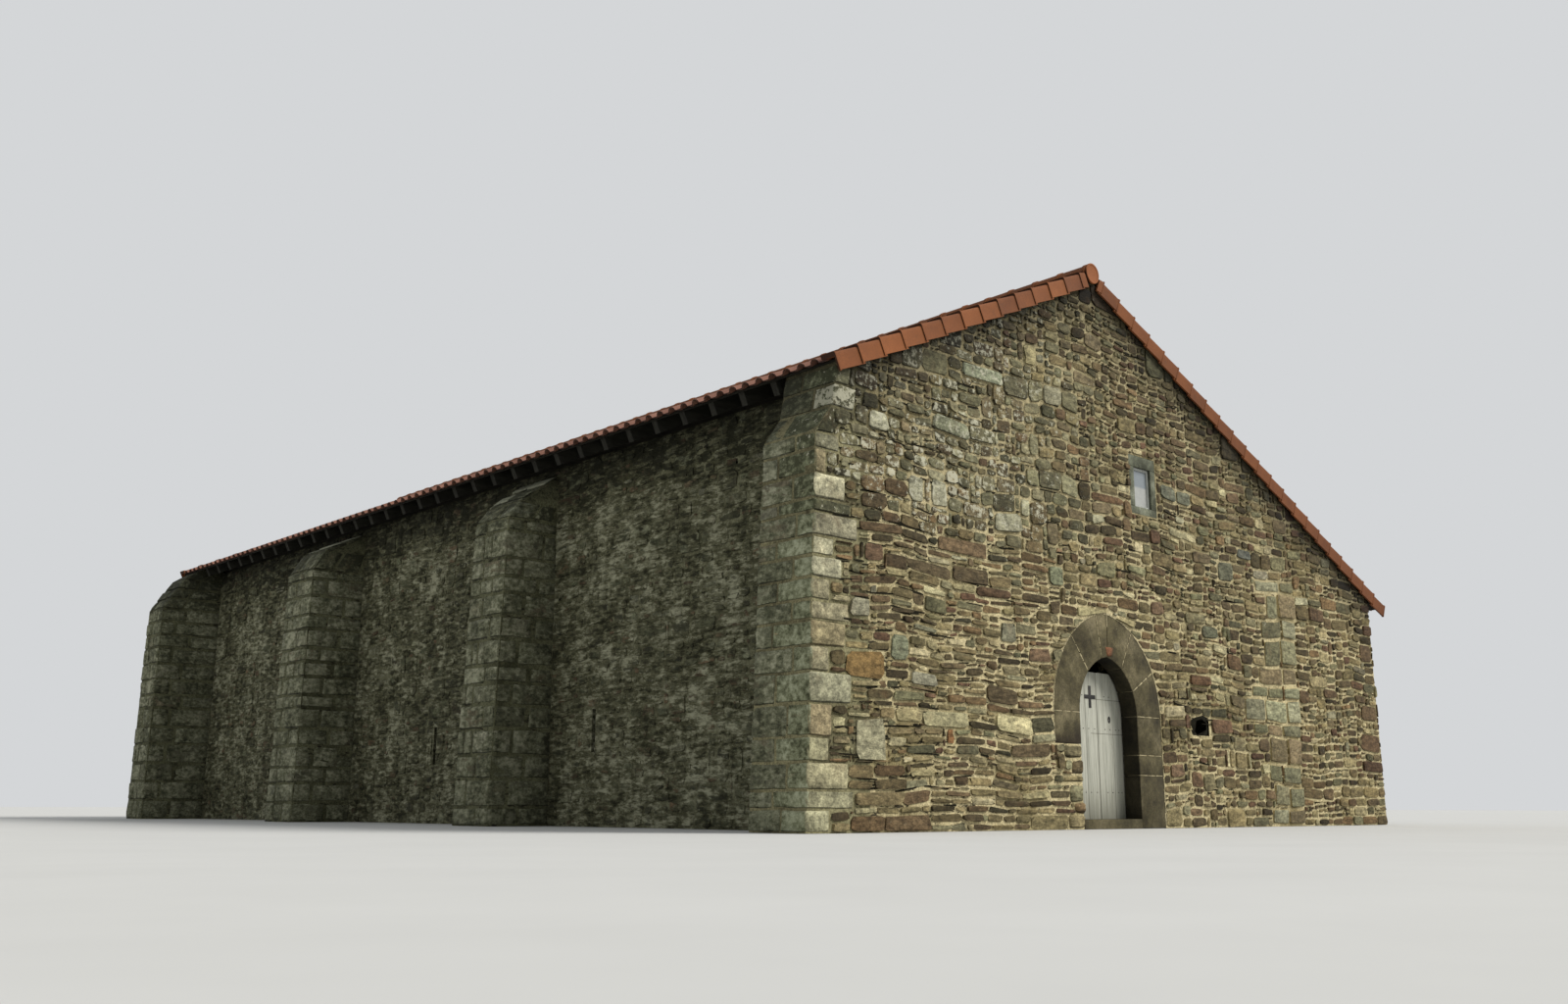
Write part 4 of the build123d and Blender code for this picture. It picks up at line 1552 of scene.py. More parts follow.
def set_block(heap: Heap, master: Master, corners: np.ndarray, colour: Colour, rounding: float) -> None:
    """Copies a squared block between eight corners, with edges rounded by the same width all over.

    Args:
        heap: where the copy goes.
        master: block of unit size.
        corners: corners indexed by x, y and z side.
        colour: the block's colour.
        rounding: width of the worn edges.
    """
    base = master.points + 0.5
    fitted = []
    for axis in range(3):
        start, end = np.moveaxis(corners, axis, 0).mean(axis=(1, 2))
        length = max(np.linalg.norm(end - start), 0.03)
        fitted.append(fit_ends(base[:, axis], BLOCK_END, rounding / length))
    points = np.zeros_like(base)
    for place in np.ndindex(2, 2, 2):
        weight = np.ones(len(base))
        for value, side in zip(fitted, place):
            weight = weight * (value if side else 1 - value)
        points += weight[:, None] * corners[place]
    edge = np.sort(np.minimum(base, 1 - base), axis=1)[:, 1]
    heap.add(master, points, np.where(edge > 0.05, 1.0, 0.4), colour)


@dataclass(frozen=True)
class Buttress:
    """Battered buttress on the left wall, built of squared blocks."""

    name: str
    y_near: float
    y_far: float
    foot: float
    shoulder: float
    knee_run: float
    knee_rise: float
    head: tuple[Span, ...] = ((4.588, 0.0),)
    taper_near: float = 0.04
    taper_far: float = 0.0
    x_wall: float = PLAN.x_left
    shoulder_height: float = 3.930

    def at_corner(self) -> bool:
        """Whether it stands at a corner and runs up to the roof boards."""
        return len(self.head) > 1

    def knee(self) -> float:
        """Height of the knee."""
        return self.shoulder_height + self.knee_rise

    def top(self) -> float:
        """Height of its highest point."""
        return self.head[-1][0]

    def reach(self, z: float) -> float:
        """How far the buttress stands out from the wall.

        Args:
            z: the height that is asked about.

        Returns:
            The distance from the wall's face.
        """
        knees = (self.shoulder_height, self.shoulder), (self.knee(), self.shoulder - self.knee_run)
        heights, reaches = zip((0.0, self.foot), *knees, *self.head)
        return float(np.interp(z, heights, reaches))

    def sides(self, z: float) -> Span:
        """Near and far face at a height."""
        share = min(z / self.shoulder_height, 1.0)
        return self.y_near + self.taper_near * share, self.y_far - self.taper_far * share

    def block(self, z: Span, depth: Span, across: Span, proud: Span) -> np.ndarray:
        """Corners of one block.

        Args:
            z: its lower and upper bed.
            depth: how far it starts and ends behind the outer face.
            across: shares of the width at which it starts and ends.
            proud: how far it stands out of the outer face and of the two sides.

        Returns:
            The eight corners, indexed by x, y and z side.
        """
        corners = np.zeros((2, 2, 2, 3))
        for i, j, k in np.ndindex(2, 2, 2):
            near, far = self.sides(z[k])
            x = min(self.x_wall - self.reach(z[k]) + depth[i], self.x_wall + 0.02)
            x -= proud[0] if depth[i] == 0 else 0.0
            y = near + (far - near) * across[j] + proud[1] * {0.0: -1, 1.0: 1}.get(across[j], 0)
            corners[i, j, k] = (x, y, z[k])
        return corners


CORNER_HEAD = ((4.727, 0.420), (4.926, 0.0))
BUTTRESSES = (
    Buttress("front_corner", -9.200, -8.390, 0.874, 0.734, 0.22, 0.30, CORNER_HEAD, 0.0, 0.04),
    Buttress("second", -3.470, -2.620, 0.874, 0.734, 0.17, 0.24),
    Buttress("third", 2.200, 3.150, 0.930, 0.850, 0.20, 0.34),
    Buttress("rear_corner", 8.400, 9.200, 1.100, 1.064, 0.38, 0.62, CORNER_HEAD),
)


def between_beds(beds: Sequence[float], depths: Sequence[float]) -> list[Scale3]:
    """Courses as lower bed, upper bed and depth or length of the stone."""
    return list(zip(beds[:-1], beds[1:], depths))


CORNER_COURSES = between_beds(
    (0.00, 0.22, 0.40, 0.66, 0.90, 1.22, 1.52, 1.77, 2.02, 2.22, 2.44)
    + (2.66, 2.86, 3.10, 3.24, 3.50, 3.75, 3.93, 4.23, 4.48, 4.70),
    (0.30, 0.62, 0.54, 0.27, 0.30, 0.56, 0.25, 0.46, 0.52, 0.24)
    + (0.40, 0.28, 0.62, 0.50, 0.42, 0.15, 0.33, 0.24, 0.32, 0.20),
)
JAMB_COURSES = between_beds(
    (0.004, 0.170, 0.300, 0.510, 0.610, 0.790, 0.960), (0.30, 0.17, 0.26, 0.38, 0.19, 0.33)
)


@dataclass
class Buttresses:
    """The four buttresses and the slabs on their tops."""

    shapes: StoneShapes
    seed: int = 41
    bed: float = 0.006
    joint: float = 0.007
    gap: float = 0.012
    head_from: float = 3.9
    cap_beds: Span = (3.05, 3.2)
    rounding: float = 0.016
    front: str = "front_corner"

    def __post_init__(self) -> None:
        """Gets ready to choose blocks."""
        self.chance = np.random.default_rng(self.seed)

    def courses(self, pier: Buttress) -> Iterator[Scale3]:
        """Goes up a buttress course by course.

        Args:
            pier: the buttress.

        Yields:
            Lower bed, upper bed and the depth of the block at the near corner.
        """
        if pier.name == self.front:
            yield from CORNER_COURSES
            return
        z, long = 0.0, False
        while z < pier.shoulder_height - 0.02:
            top = z + self.chance.uniform(0.20, 0.36)
            if pier.shoulder_height - top < 0.14:
                top = pier.shoulder_height
            long = not long
            depth = self.chance.uniform(0.42, 0.58) if long else self.chance.uniform(0.22, 0.32)
            yield z, top, depth
            z = top
        beds = np.linspace(z, pier.head[0][0], 5) if pier.at_corner() else np.linspace(z, pier.knee(), 2)
        for low, high in zip(beds[:-1], beds[1:]):
            yield float(low), float(high), self.chance.uniform(0.2, 0.34)

    def build(self) -> None:
        """Builds each buttress as one piece of blocks, and the gable's pale quoins as another."""
        for pier in BUTTRESSES:
            heap, quoins = Heap(), Heap()
            for number, (low, high, depth) in enumerate(self.courses(pier)):
                self.course(pier, heap, quoins, number, (low + self.bed, high - self.bed), depth)
            if not pier.at_corner():
                self.slabs(pier, heap)
            heap.build(f"buttress_blocks_{pier.name}", BLOCK_STONE, 50)
            if quoins.count:
                quoins.build(f"quoins_{pier.name}", QUOIN_STONE, 50)

    def course(self, pier: Buttress, heap: Heap, quoins: Heap, number: int, z: Span, depth: float) -> None:
        """Lays one course of a buttress.

        Args:
            pier: the buttress.
            heap: where its blocks go.
            quoins: where the pale quoins of the gable's corner go.
            number: number of the course from the ground.
            z: lower and upper bed.
            depth: depth of the block at the near corner.
        """
        chance = self.chance
        split = chance.uniform(0.56, 0.70) if number % 2 else chance.uniform(0.30, 0.44)
        far_depth = chance.uniform(0.22, 0.34) if number % 2 == 0 else chance.uniform(0.40, 0.56)
        corner = pier.name == self.front
        reach = pier.reach(z[1])
        cuts = [0.0, split, 1.0]
        if not corner and chance.random() < 0.35:
            cuts.insert(2, split + (1.0 - split) * chance.uniform(0.4, 0.6))
        pieces = []
        for start, end in zip(cuts[:-1], cuts[1:]):
            back = depth if start == 0.0 else far_depth
            across = (start + (self.joint if start else 0.0), end - (self.joint if end < 1.0 else 0.0))
            pieces.append(((0.0, min(back, reach)), across, start == 0.0))
        for behind, across in ((depth, (0.0, 0.45)), (far_depth, (0.55, 1.0))):
            if behind < reach - 0.08 and not (corner and across[0] == 0.0):
                pieces.append(((behind + self.gap, reach + 0.1), across, False))
        for back, across, near in pieces:
            self.lay_block(pier, (z, back, across), quoins if near and corner else heap, near and corner)

    def lay_block(self, pier: Buttress, spans: tuple[Span, Span, Span], heap: Heap, quoin: bool) -> None:
        """Lays one block of a course.

        Args:
            pier: the buttress.
            spans: the block's beds, its depth behind the outer face and its shares of the width.
            heap: where it goes.
            quoin: whether it is a pale quoin of the gable's corner.
        """
        chance = self.chance
        corner, low = pier.name == self.front, spans[0][0]
        outer, side = chance.uniform(0.005, 0.022), chance.uniform(0.003, 0.008)
        block = pier.block(*spans, (side, outer) if corner else (outer, side))
        block += chance.normal(0, 0.003, block.shape)
        master = self.shapes.pick_block(chance)
        head = low > self.head_from or (corner and self.cap_beds[0] < low < self.cap_beds[1])
        if quoin:
            age = 1.5 if low > self.head_from else 0.75 if low > self.cap_beds[0] else 0.35
            colour = (HEAD_TONES if head else QUOIN_TONES).pick(chance, age)
            rounding = self.rounding
        else:
            palette = HEAD_TONES if head and chance.random() < 0.7 else BLOCK_TONES
            rounding = chance.uniform(0.010, 0.016) if corner else chance.uniform(0.016, 0.036)
            colour = palette.pick(chance, 0.2)
        set_block(heap, master, block, colour, rounding)

    def slabs(self, pier: Buttress, heap: Heap) -> None:
        """Lays the sloping slabs between the knee and the wall, with lichened slivers on them.

        Args:
            pier: the buttress.
            heap: where they go.
        """
        chance, gap = self.chance, self.bed
        near, far = pier.sides(pier.shoulder_height)
        start = np.array([pier.x_wall - pier.reach(pier.knee()), pier.knee()])
        way = np.array([pier.x_wall, pier.top()]) - start
        square = np.array([-way[1], way[0]]) / np.linalg.norm(way)
        for row in (0.0, 0.5):
            cut = chance.uniform(0.4, 0.6)
            for share in ((0.0, cut - gap), (cut + gap, 1.0)):
                for along, height, palette, age in (
                    ((row + gap, row + 0.494), (-0.05, 0.012), HEAD_TONES, 0.3),
                    ((row + 0.12, row + 0.40), (gap, 0.032), BLOCK_TONES, 2.0),
                ):
                    block = np.zeros((2, 2, 2, 3))
                    for i, j, k in np.ndindex(2, 2, 2):
                        x, z = start + way * along[i] + square * height[k]
                        block[i, j, k] = (x, near + (far - near) * share[j], z)
                    block += chance.normal(0, 0.008, block.shape)
                    master = self.shapes.pick_block(chance)
                    set_block(heap, master, block, palette.pick(chance, age), self.rounding)


def arch_height(x: np.ndarray, half_width: float, rise: float) -> np.ndarray:
    """Height of a two-centred pointed arch over the doorway.

    Args:
        x: places across the gable.
        half_width: half of the arch's width.
        rise: its height above the springing line.

    Returns:
        The height at each place.
    """
    radius = (half_width**2 + rise**2) / (2 * half_width)
    run = np.minimum(np.abs(x - PLAN.x_door), half_width) + radius - half_width
    return PLAN.springing + np.sqrt(np.maximum(radius**2 - run**2, 0.0))


# Large stones that stand out by size or colour: left and lower edge, width, height and tone.
FEATURES = (
    (-5.98, 1.48, 0.58, 0.29, "78623f"),
    (-5.34, 1.68, 0.28, 0.29, "7c7f69"),
    (-5.05, 1.45, 0.42, 0.15, "8a8775"),
    (-4.62, 4.28, 0.62, 0.20, "7f816b"),
    (-4.10, 5.02, 0.75, 0.18, "7f836e"),
    (-5.02, 3.42, 0.26, 0.30, "8e8c78"),
    (-4.66, 3.44, 0.28, 0.28, "96947f"),
    (-3.60, 3.30, 0.50, 0.24, "8d8b76"),
    (-5.62, 4.08, 0.30, 0.24, "a09e88"),
    (-1.70, 3.92, 0.70, 0.12, "66513c"),
    (-1.50, 3.37, 0.45, 0.12, "5e4a38"),
    (-0.14, 4.18, 0.36, 0.22, "66685a"),
    (0.24, 4.20, 0.34, 0.20, "6b6c5c"),
    (-2.62, 2.78, 0.30, 0.26, "73765f"),
    (-3.95, 2.52, 0.62, 0.13, "554434"),
    (-3.05, 1.86, 0.42, 0.18, "715d49"),
    (-3.55, 2.05, 0.28, 0.24, "787663"),
    (-5.70, 2.68, 0.30, 0.20, "624f3e"),
    (-5.92, 2.10, 0.30, 0.20, "868370"),
    (-5.86, 0.70, 0.46, 0.40, "969279"),
    (-4.50, 0.86, 0.15, 0.17, "7b5a3b"),
    (1.30, 0.98, 0.30, 0.20, "7b7358"),
    (0.29, 1.76, 0.50, 0.15, "67503c"),
    (4.98, 1.06, 0.62, 0.27, "5f4c38"),
    (4.98, 0.76, 0.63, 0.17, "4c3b2d"),
    (5.20, 2.44, 0.40, 0.27, "5c4c39"),
    (5.09, 1.52, 0.50, 0.25, "62513c"),
    (-0.27, 0.59, 0.32, 0.18, "6c5946"),
    (1.72, 0.87, 0.36, 0.11, "4e3b2d"),
    (0.66, 2.41, 0.42, 0.18, "60614f"),
    (-0.34, 1.34, 0.48, 0.16, "a09678"),
    (1.25, 2.06, 0.38, 0.23, "5e4c38"),
    (1.17, 3.27, 0.40, 0.28, "636352"),
    (1.70, 3.63, 0.38, 0.16, "5e6058"),
    (3.64, 2.90, 0.46, 0.21, "5b4a38"),
    (0.20, 0.46, 0.28, 0.20, "6b5642"),
    (-0.52, 2.62, 0.30, 0.18, "6d5a47"),
)


@dataclass(frozen=True)
class FrontGable:
    """The gable with the doorway and the window."""

    shapes: StoneShapes
    side: Elevation = Elevation((0.0, PLAN.y_front), (1.0, 0.0), (0.0, -1.0))
    x_start: float = -6.510
    under_tiles: float = 0.072
    arch_ring: Span = (1.110, 1.224)
    ring_reach: float = 1.105
    ring_foot: float = 0.955
    jamb_top: float = 0.96
    x_jamb: float = -2.104
    window: Box = (-0.829, -0.229, 3.895, 4.675)
    socket_mouth: Box = (0.240, 0.765, 1.125, 1.400)
    flat_zone: Box = (-6.6, -2.5, 0.0, 3.05)
    lumpy_zone: Box = (-6.6, -1.6, 3.05, 7.0)
    calm_door: Box = (-2.70, -0.34, 0.0, 2.60)
    calm_window: Box = (-0.83, -0.23, 3.9, 4.67)
    calm_socket: Box = (0.3, 0.72, 1.1, 1.4)
    calm_corners: tuple[Box, ...] = ((-6.6, -5.75, 0.0, 5.0), (5.3, 6.0, 0.0, 4.0))
    strip_top: float = 3.30
    strip_right: float = 3.05
    strip_lean: float = 0.065
    first_joints: tuple[Box, ...] = ((-5.90, 3.17, 1.05, 0.03), (-5.05, 3.12, 0.55, 0.024))
    last_joint: Box = (-6.25, 3.235, 0.5, 0.02)
    joint_count: int = 260

    def features(self) -> list[Stone]:
        """Cuts the large stones that stand out by size or colour.

        Returns:
            The stones, at their own places.
        """
        stones = []
        for x, z, width, height, tone in FEATURES:
            quad = np.array([[x, z], [x + width, z], [x + 0.01, z + height], [x + width - 0.02, z + height]])
            stones.append(Stone(quad, True, tone))
        return stones

    def strip(self) -> list[Stone]:
        """Cuts the pale squared blocks of the chapel's former corner.

        Returns:
            The blocks, from the ground up.
        """
        chance = np.random.default_rng(12)
        stones: list[Stone] = []
        z, long = 0.02, False
        while z < self.strip_top:
            rise = chance.uniform(0.17, 0.40)
            end = self.strip_right + self.strip_lean * z + chance.uniform(-0.03, 0.03)
            start = end - (1.05 if long and z > 1.0 else 0.86) + chance.uniform(-0.07, 0.07)
            start -= 0.42 if 0.95 < z < 1.75 else 0.0
            edges = [start, end - (0.36 if long else 0.50) - chance.uniform(-0.06, 0.06), end]
            if edges[1] - start > 0.75:
                edges.insert(1, (start + edges[1]) / 2)
            for low, high in zip(edges[:-1], edges[1:]):
                quad = np.array([[low, z], [high, z], [low, z + rise], [high, z + rise]])
                quad += chance.uniform(0.0, 0.026, (4, 2)) * INWARD
                stones.append(Stone(quad, True, "strip", True))
            z += rise
            long = not long
        return stones

    def colour(self, stone: Stone, chance: np.random.Generator) -> Colour:
        """Colour of a stone by its place: greyer and lichened at the upper left, browner at the right, with
        painted shade below the verge and at the top of the left corner.

        Args:
            stone: the laid stone.
            chance: source of the choice.

        Returns:
            The colour, with the stone's age in its last channel.
        """
        x, z = stone.middle()
        upper = np.clip((z - 2.7) / 0.9, 0, 1) * np.clip((-0.4 - x) / 3.0, 0.10, 1)
        if stone.colour == "strip":
            return STRIP_TONES.pick(chance, 0.35)
        if stone.colour:
            return (*(np.array(tint(stone.colour)[:3]) * WARM_LIGHT).tolist(), float(1.2 * upper))
        palette = GREY_STONES if chance.random() < max(0.85 * upper, 0.12) else BROWN_STONES
        patch = np.exp(-(((x + 4.5) / 0.9) ** 2) - ((z - 3.55) / 0.35) ** 2)
        colour = np.array(palette.pick(chance, float(max(0.95 * upper, 0.12) + 0.7 * patch)))
        # Painted shade in a band below the verge.
        below_verge = PLAN.roof_height(x, 0.0) - z
        colour[:3] *= 0.58 + 0.42 * np.clip(below_verge / 0.7, 0, 1)
        # Painted shade at the top of the left corner, under the eaves.
        colour[:3] *= 0.45 + 0.55 * np.clip(np.hypot(x + 5.9, (z - 4.75) * 1.2) / 0.9, 0, 1)
        colour[:3] *= (1.0, 0.97, 0.93) if x > 2.5 else EVEN
        colour[:3] *= np.array(WARM_LIGHT) * (0.92 if palette is GREY_STONES else 1.04)
        return tuple(float(value) for value in colour)

    def openings(self, layer: RubbleLayer) -> None:
        """Keeps the rubble clear of the roof, the doorway, the window, the socket and the quoins.

        Args:
            layer: where the rubble may lie.
        """
        roof = np.array([PLAN.roof_height(x, self.under_tiles) for x in layer.u])
        pier = BUTTRESSES[0]
        heights = np.linspace(0, pier.top(), 300)
        reaches = np.array([pier.reach(z) for z in heights])
        for column, x in enumerate(layer.u):
            if x < PLAN.x_left:
                inside = heights[reaches > PLAN.x_left - x]
                roof[column] = inside[-1] - 0.020 if len(inside) else 0.1
        layer.keep_out(-9, 9, roof, np.inf)
        right = PLAN.x_door + self.ring_reach
        ring = arch_height(layer.u, *self.arch_ring)
        layer.keep_out(PLAN.x_door - self.ring_reach, right, self.ring_foot, ring, curved=True)
        layer.keep_out(self.x_jamb, right, -1.0, self.jamb_top)
        for low, high, length in JAMB_COURSES:
            layer.keep_out(self.x_jamb - 0.012 - length, self.x_jamb + 0.004, low, high)
        layer.keep_out(*self.window)
        layer.keep_out(*self.socket_mouth)
        for low, high, depth in CORNER_COURSES:
            layer.keep_out(-6.6, PLAN.x_left - pier.reach(low) + depth + 0.012, low, high)

    def build(self) -> None:
        """Lays the rubble round the doorway, the window and the quoins."""
        zones = ((self.flat_zone, FLAT_HABIT), (self.lumpy_zone, LUMPY_HABIT))
        layer = RubbleLayer(self.x_start, PLAN.x_right, GABLE_HABIT, 7, zones)
        self.openings(layer)
        hand_set = self.features() + self.strip()
        for stone in hand_set:
            (left, low), (right, _), (top_left, _), (top_right, high) = stone.quad
            layer.keep_out(min(left, top_left), max(right, top_right), low, high)
        calm = (self.calm_door, self.calm_window, self.calm_socket, *self.calm_corners)
        wall = Wall(self.side, GABLE_HABIT, self.shapes, 19, Sway(calm))
        for stone in hand_set + layer.lay():
            wall.set_stone(stone, self.colour(stone, wall.chance))
        wall.heap.build("gable_stones", GABLE_STONE, 60)
        self.open_joints(wall.sway)
        self.socket()

    def open_joints(self, sway: Sway) -> None:
        """Lays near-black bars of painted shade in the wide joints where the mortar is gone.

        Args:
            sway: rise and fall of the courses.
        """
        chance = np.random.default_rng(67)
        bar = Bench("open_joint", size=UNIT)
        master = bar.select("EDGE", lambda middle, way: abs(way.x) < 0.1).bevel(0.16).read()
        heap = Heap()
        places = [*self.first_joints, self.last_joint]
        for _ in range(self.joint_count):
            x = -6.0 + 7.5 * chance.random() ** 1.6
            z = chance.uniform(0.2, PLAN.roof_height(x, 0.0) - 0.25)
            places.append((x, z, chance.uniform(0.10, 0.42), chance.uniform(0.010, 0.022)))
        for x, z, width, height in places:
            inside_ring = abs(x - PLAN.x_door) < 1.2 + width / 2 and z < 2.7
            beside_window = abs(x + 0.53) < 0.35 + width / 2 and 3.8 < z < 4.75
            if inside_ring or beside_window or x - width / 2 < PLAN.x_left - 0.62:
                continue
            points = master.points * (width, 0.010, height)
            u = points[:, 0] + x
            v = points[:, 2] + z + chance.uniform(-0.08, 0.08) * points[:, 0]
            heap.add(master, self.side.place(u, v + sway.lift(u, v), 0.003 - points[:, 1]))
        heap.build("open_joints", DEEP_SHADE, 60)

    def socket(self) -> None:
        """Lines the small socket with painted shade, and rings its mouth with a roughened collar of painted
        shade.
        """
        # A lining of painted shade inside the socket.
        lining = Bench("socket_lining", size=(0.199, 0.119, 0.109), location=(0.511, -9.080, 1.260))
        lining.remove(lambda middle, normal: normal.y < -0.9).select("VERT")
        bpy.ops.mesh.flip_normals()
        lining.thicken(0.012)
        lining.select("VERT", lambda middle, normal: middle.y > -9.15).roughen(0.004, 5)
        lining.place(DEEP_SHADE, 30)
        turn = (math.pi / 2, 0, 0)
        # A collar of painted shade round the socket's mouth.
        collar = Bench("socket_collar", "cylinder", vertices=6, radius=1.0, depth=0.030, rotation=turn)
        collar.remove(lambda middle, normal: abs(normal.y) > 0.9).select("VERT").resize((0.285, 1, 0.152))
        collar.select("EDGE", lambda middle, way: middle.y < -0.01 and abs(way.y) < 0.1)
        collar.extrude((0, 0, 0)).resize((0.72, 1, 0.70)).extrude((0, 0.03, 0))
        collar.select("VERT").roughen(0.040, 9).move((0.505, -9.192, 1.258))
        bpy.ops.mesh.normals_make_consistent(inside=False)
        collar.place(DEEP_SHADE, 60)


@dataclass(frozen=True)
class PlainWalls:
    """The left, right and back walls."""

    shapes: StoneShapes
    left_top: float = 4.69
    right_top: float = 3.25
    under_boards: float = 0.045
    slits: tuple[Span, ...] = ((-4.440, 0.900), (-0.450, 0.830))
    slit_half: float = 0.045
    slit_reach: Span = (0.005, 0.535)
    slit_calm: tuple[Box, ...] = ((4.3, 4.6, 0.85, 1.5), (0.3, 0.6, 0.78, 1.42))

    def left(self) -> None:
        """Lays the left wall between its buttresses and round its slits."""
        side = Elevation((PLAN.x_left, 0.0), (0.0, -1.0), (-1.0, 0.0))
        layer = RubbleLayer(PLAN.y_front, PLAN.y_back, SIDE_HABIT, 23)
        layer.keep_out(-10, 10, self.left_top, np.inf)
        for pier in BUTTRESSES:
            low = -9.3 if pier.name == "rear_corner" else 0.03 - pier.y_far
            high = 9.3 if pier.name == "front_corner" else -pier.y_near - 0.03
            layer.keep_out(low, high, -1.0, pier.top())
        below, above = self.slit_reach
        for y, bottom in self.slits:
            layer.keep_out(-y - self.slit_half, -y + self.slit_half, bottom - below, bottom + above)
        sway = Sway((*self.slit_calm, (-9.3, 9.3, self.left_top, 6.0)))
        self.lay(side, layer, 29, SHADE_STONES, "left_wall_stones", SIDE_STONE, sway)

    def right(self) -> None:
        """Lays the right wall."""
        side = Elevation((PLAN.x_right, 0.0), (0.0, 1.0), (1.0, 0.0))
        layer = RubbleLayer(PLAN.y_front, PLAN.y_back, PLAIN_HABIT, 31)
        layer.keep_out(-10, 10, self.right_top, np.inf)
        sway = Sway(((-9.3, 9.3, self.right_top, 6.0),))
        self.lay(side, layer, 37, BROWN_STONES, "right_wall_stones", GABLE_STONE, sway)

    def back(self) -> None:
        """Lays the back gable."""
        side = Elevation((0.0, PLAN.y_back), (-1.0, 0.0), (0.0, 1.0))
        layer = RubbleLayer(PLAN.x_left, PLAN.x_right, PLAIN_HABIT, 43)
        layer.keep_out(-9, 9, np.array([PLAN.roof_height(-u, self.under_boards) for u in layer.u]), np.inf)
        self.lay(side, layer, 47, BROWN_STONES, "back_wall_stones", GABLE_STONE, Sway())

    def lay(
        self,
        side: Elevation,
        layer: RubbleLayer,
        seed: int,
        palette: Palette,
        name: str,
        finish: StoneFinish,
        sway: Sway,
    ) -> None:
        """Lays one wall and gathers it into a piece.

        Args:
            side: the wall's elevation.
            layer: where its stones may lie.
            seed: seed of their shapes and colours.
            palette: their colours.
            name: name of the piece.
            finish: what they are made of.
            sway: rise and fall of the courses.
        """
        wall = Wall(side, layer.habit, self.shapes, seed, sway)
        for stone in layer.lay():
            wall.set_stone(stone, palette.pick(wall.chance, 0.3))
        wall.heap.build(name, finish, 60)

    def build(self) -> None:
        """Lays the three walls."""
        self.left()
        self.right()
        self.back()


SIDES = ((-1, "left"), (1, "right"))


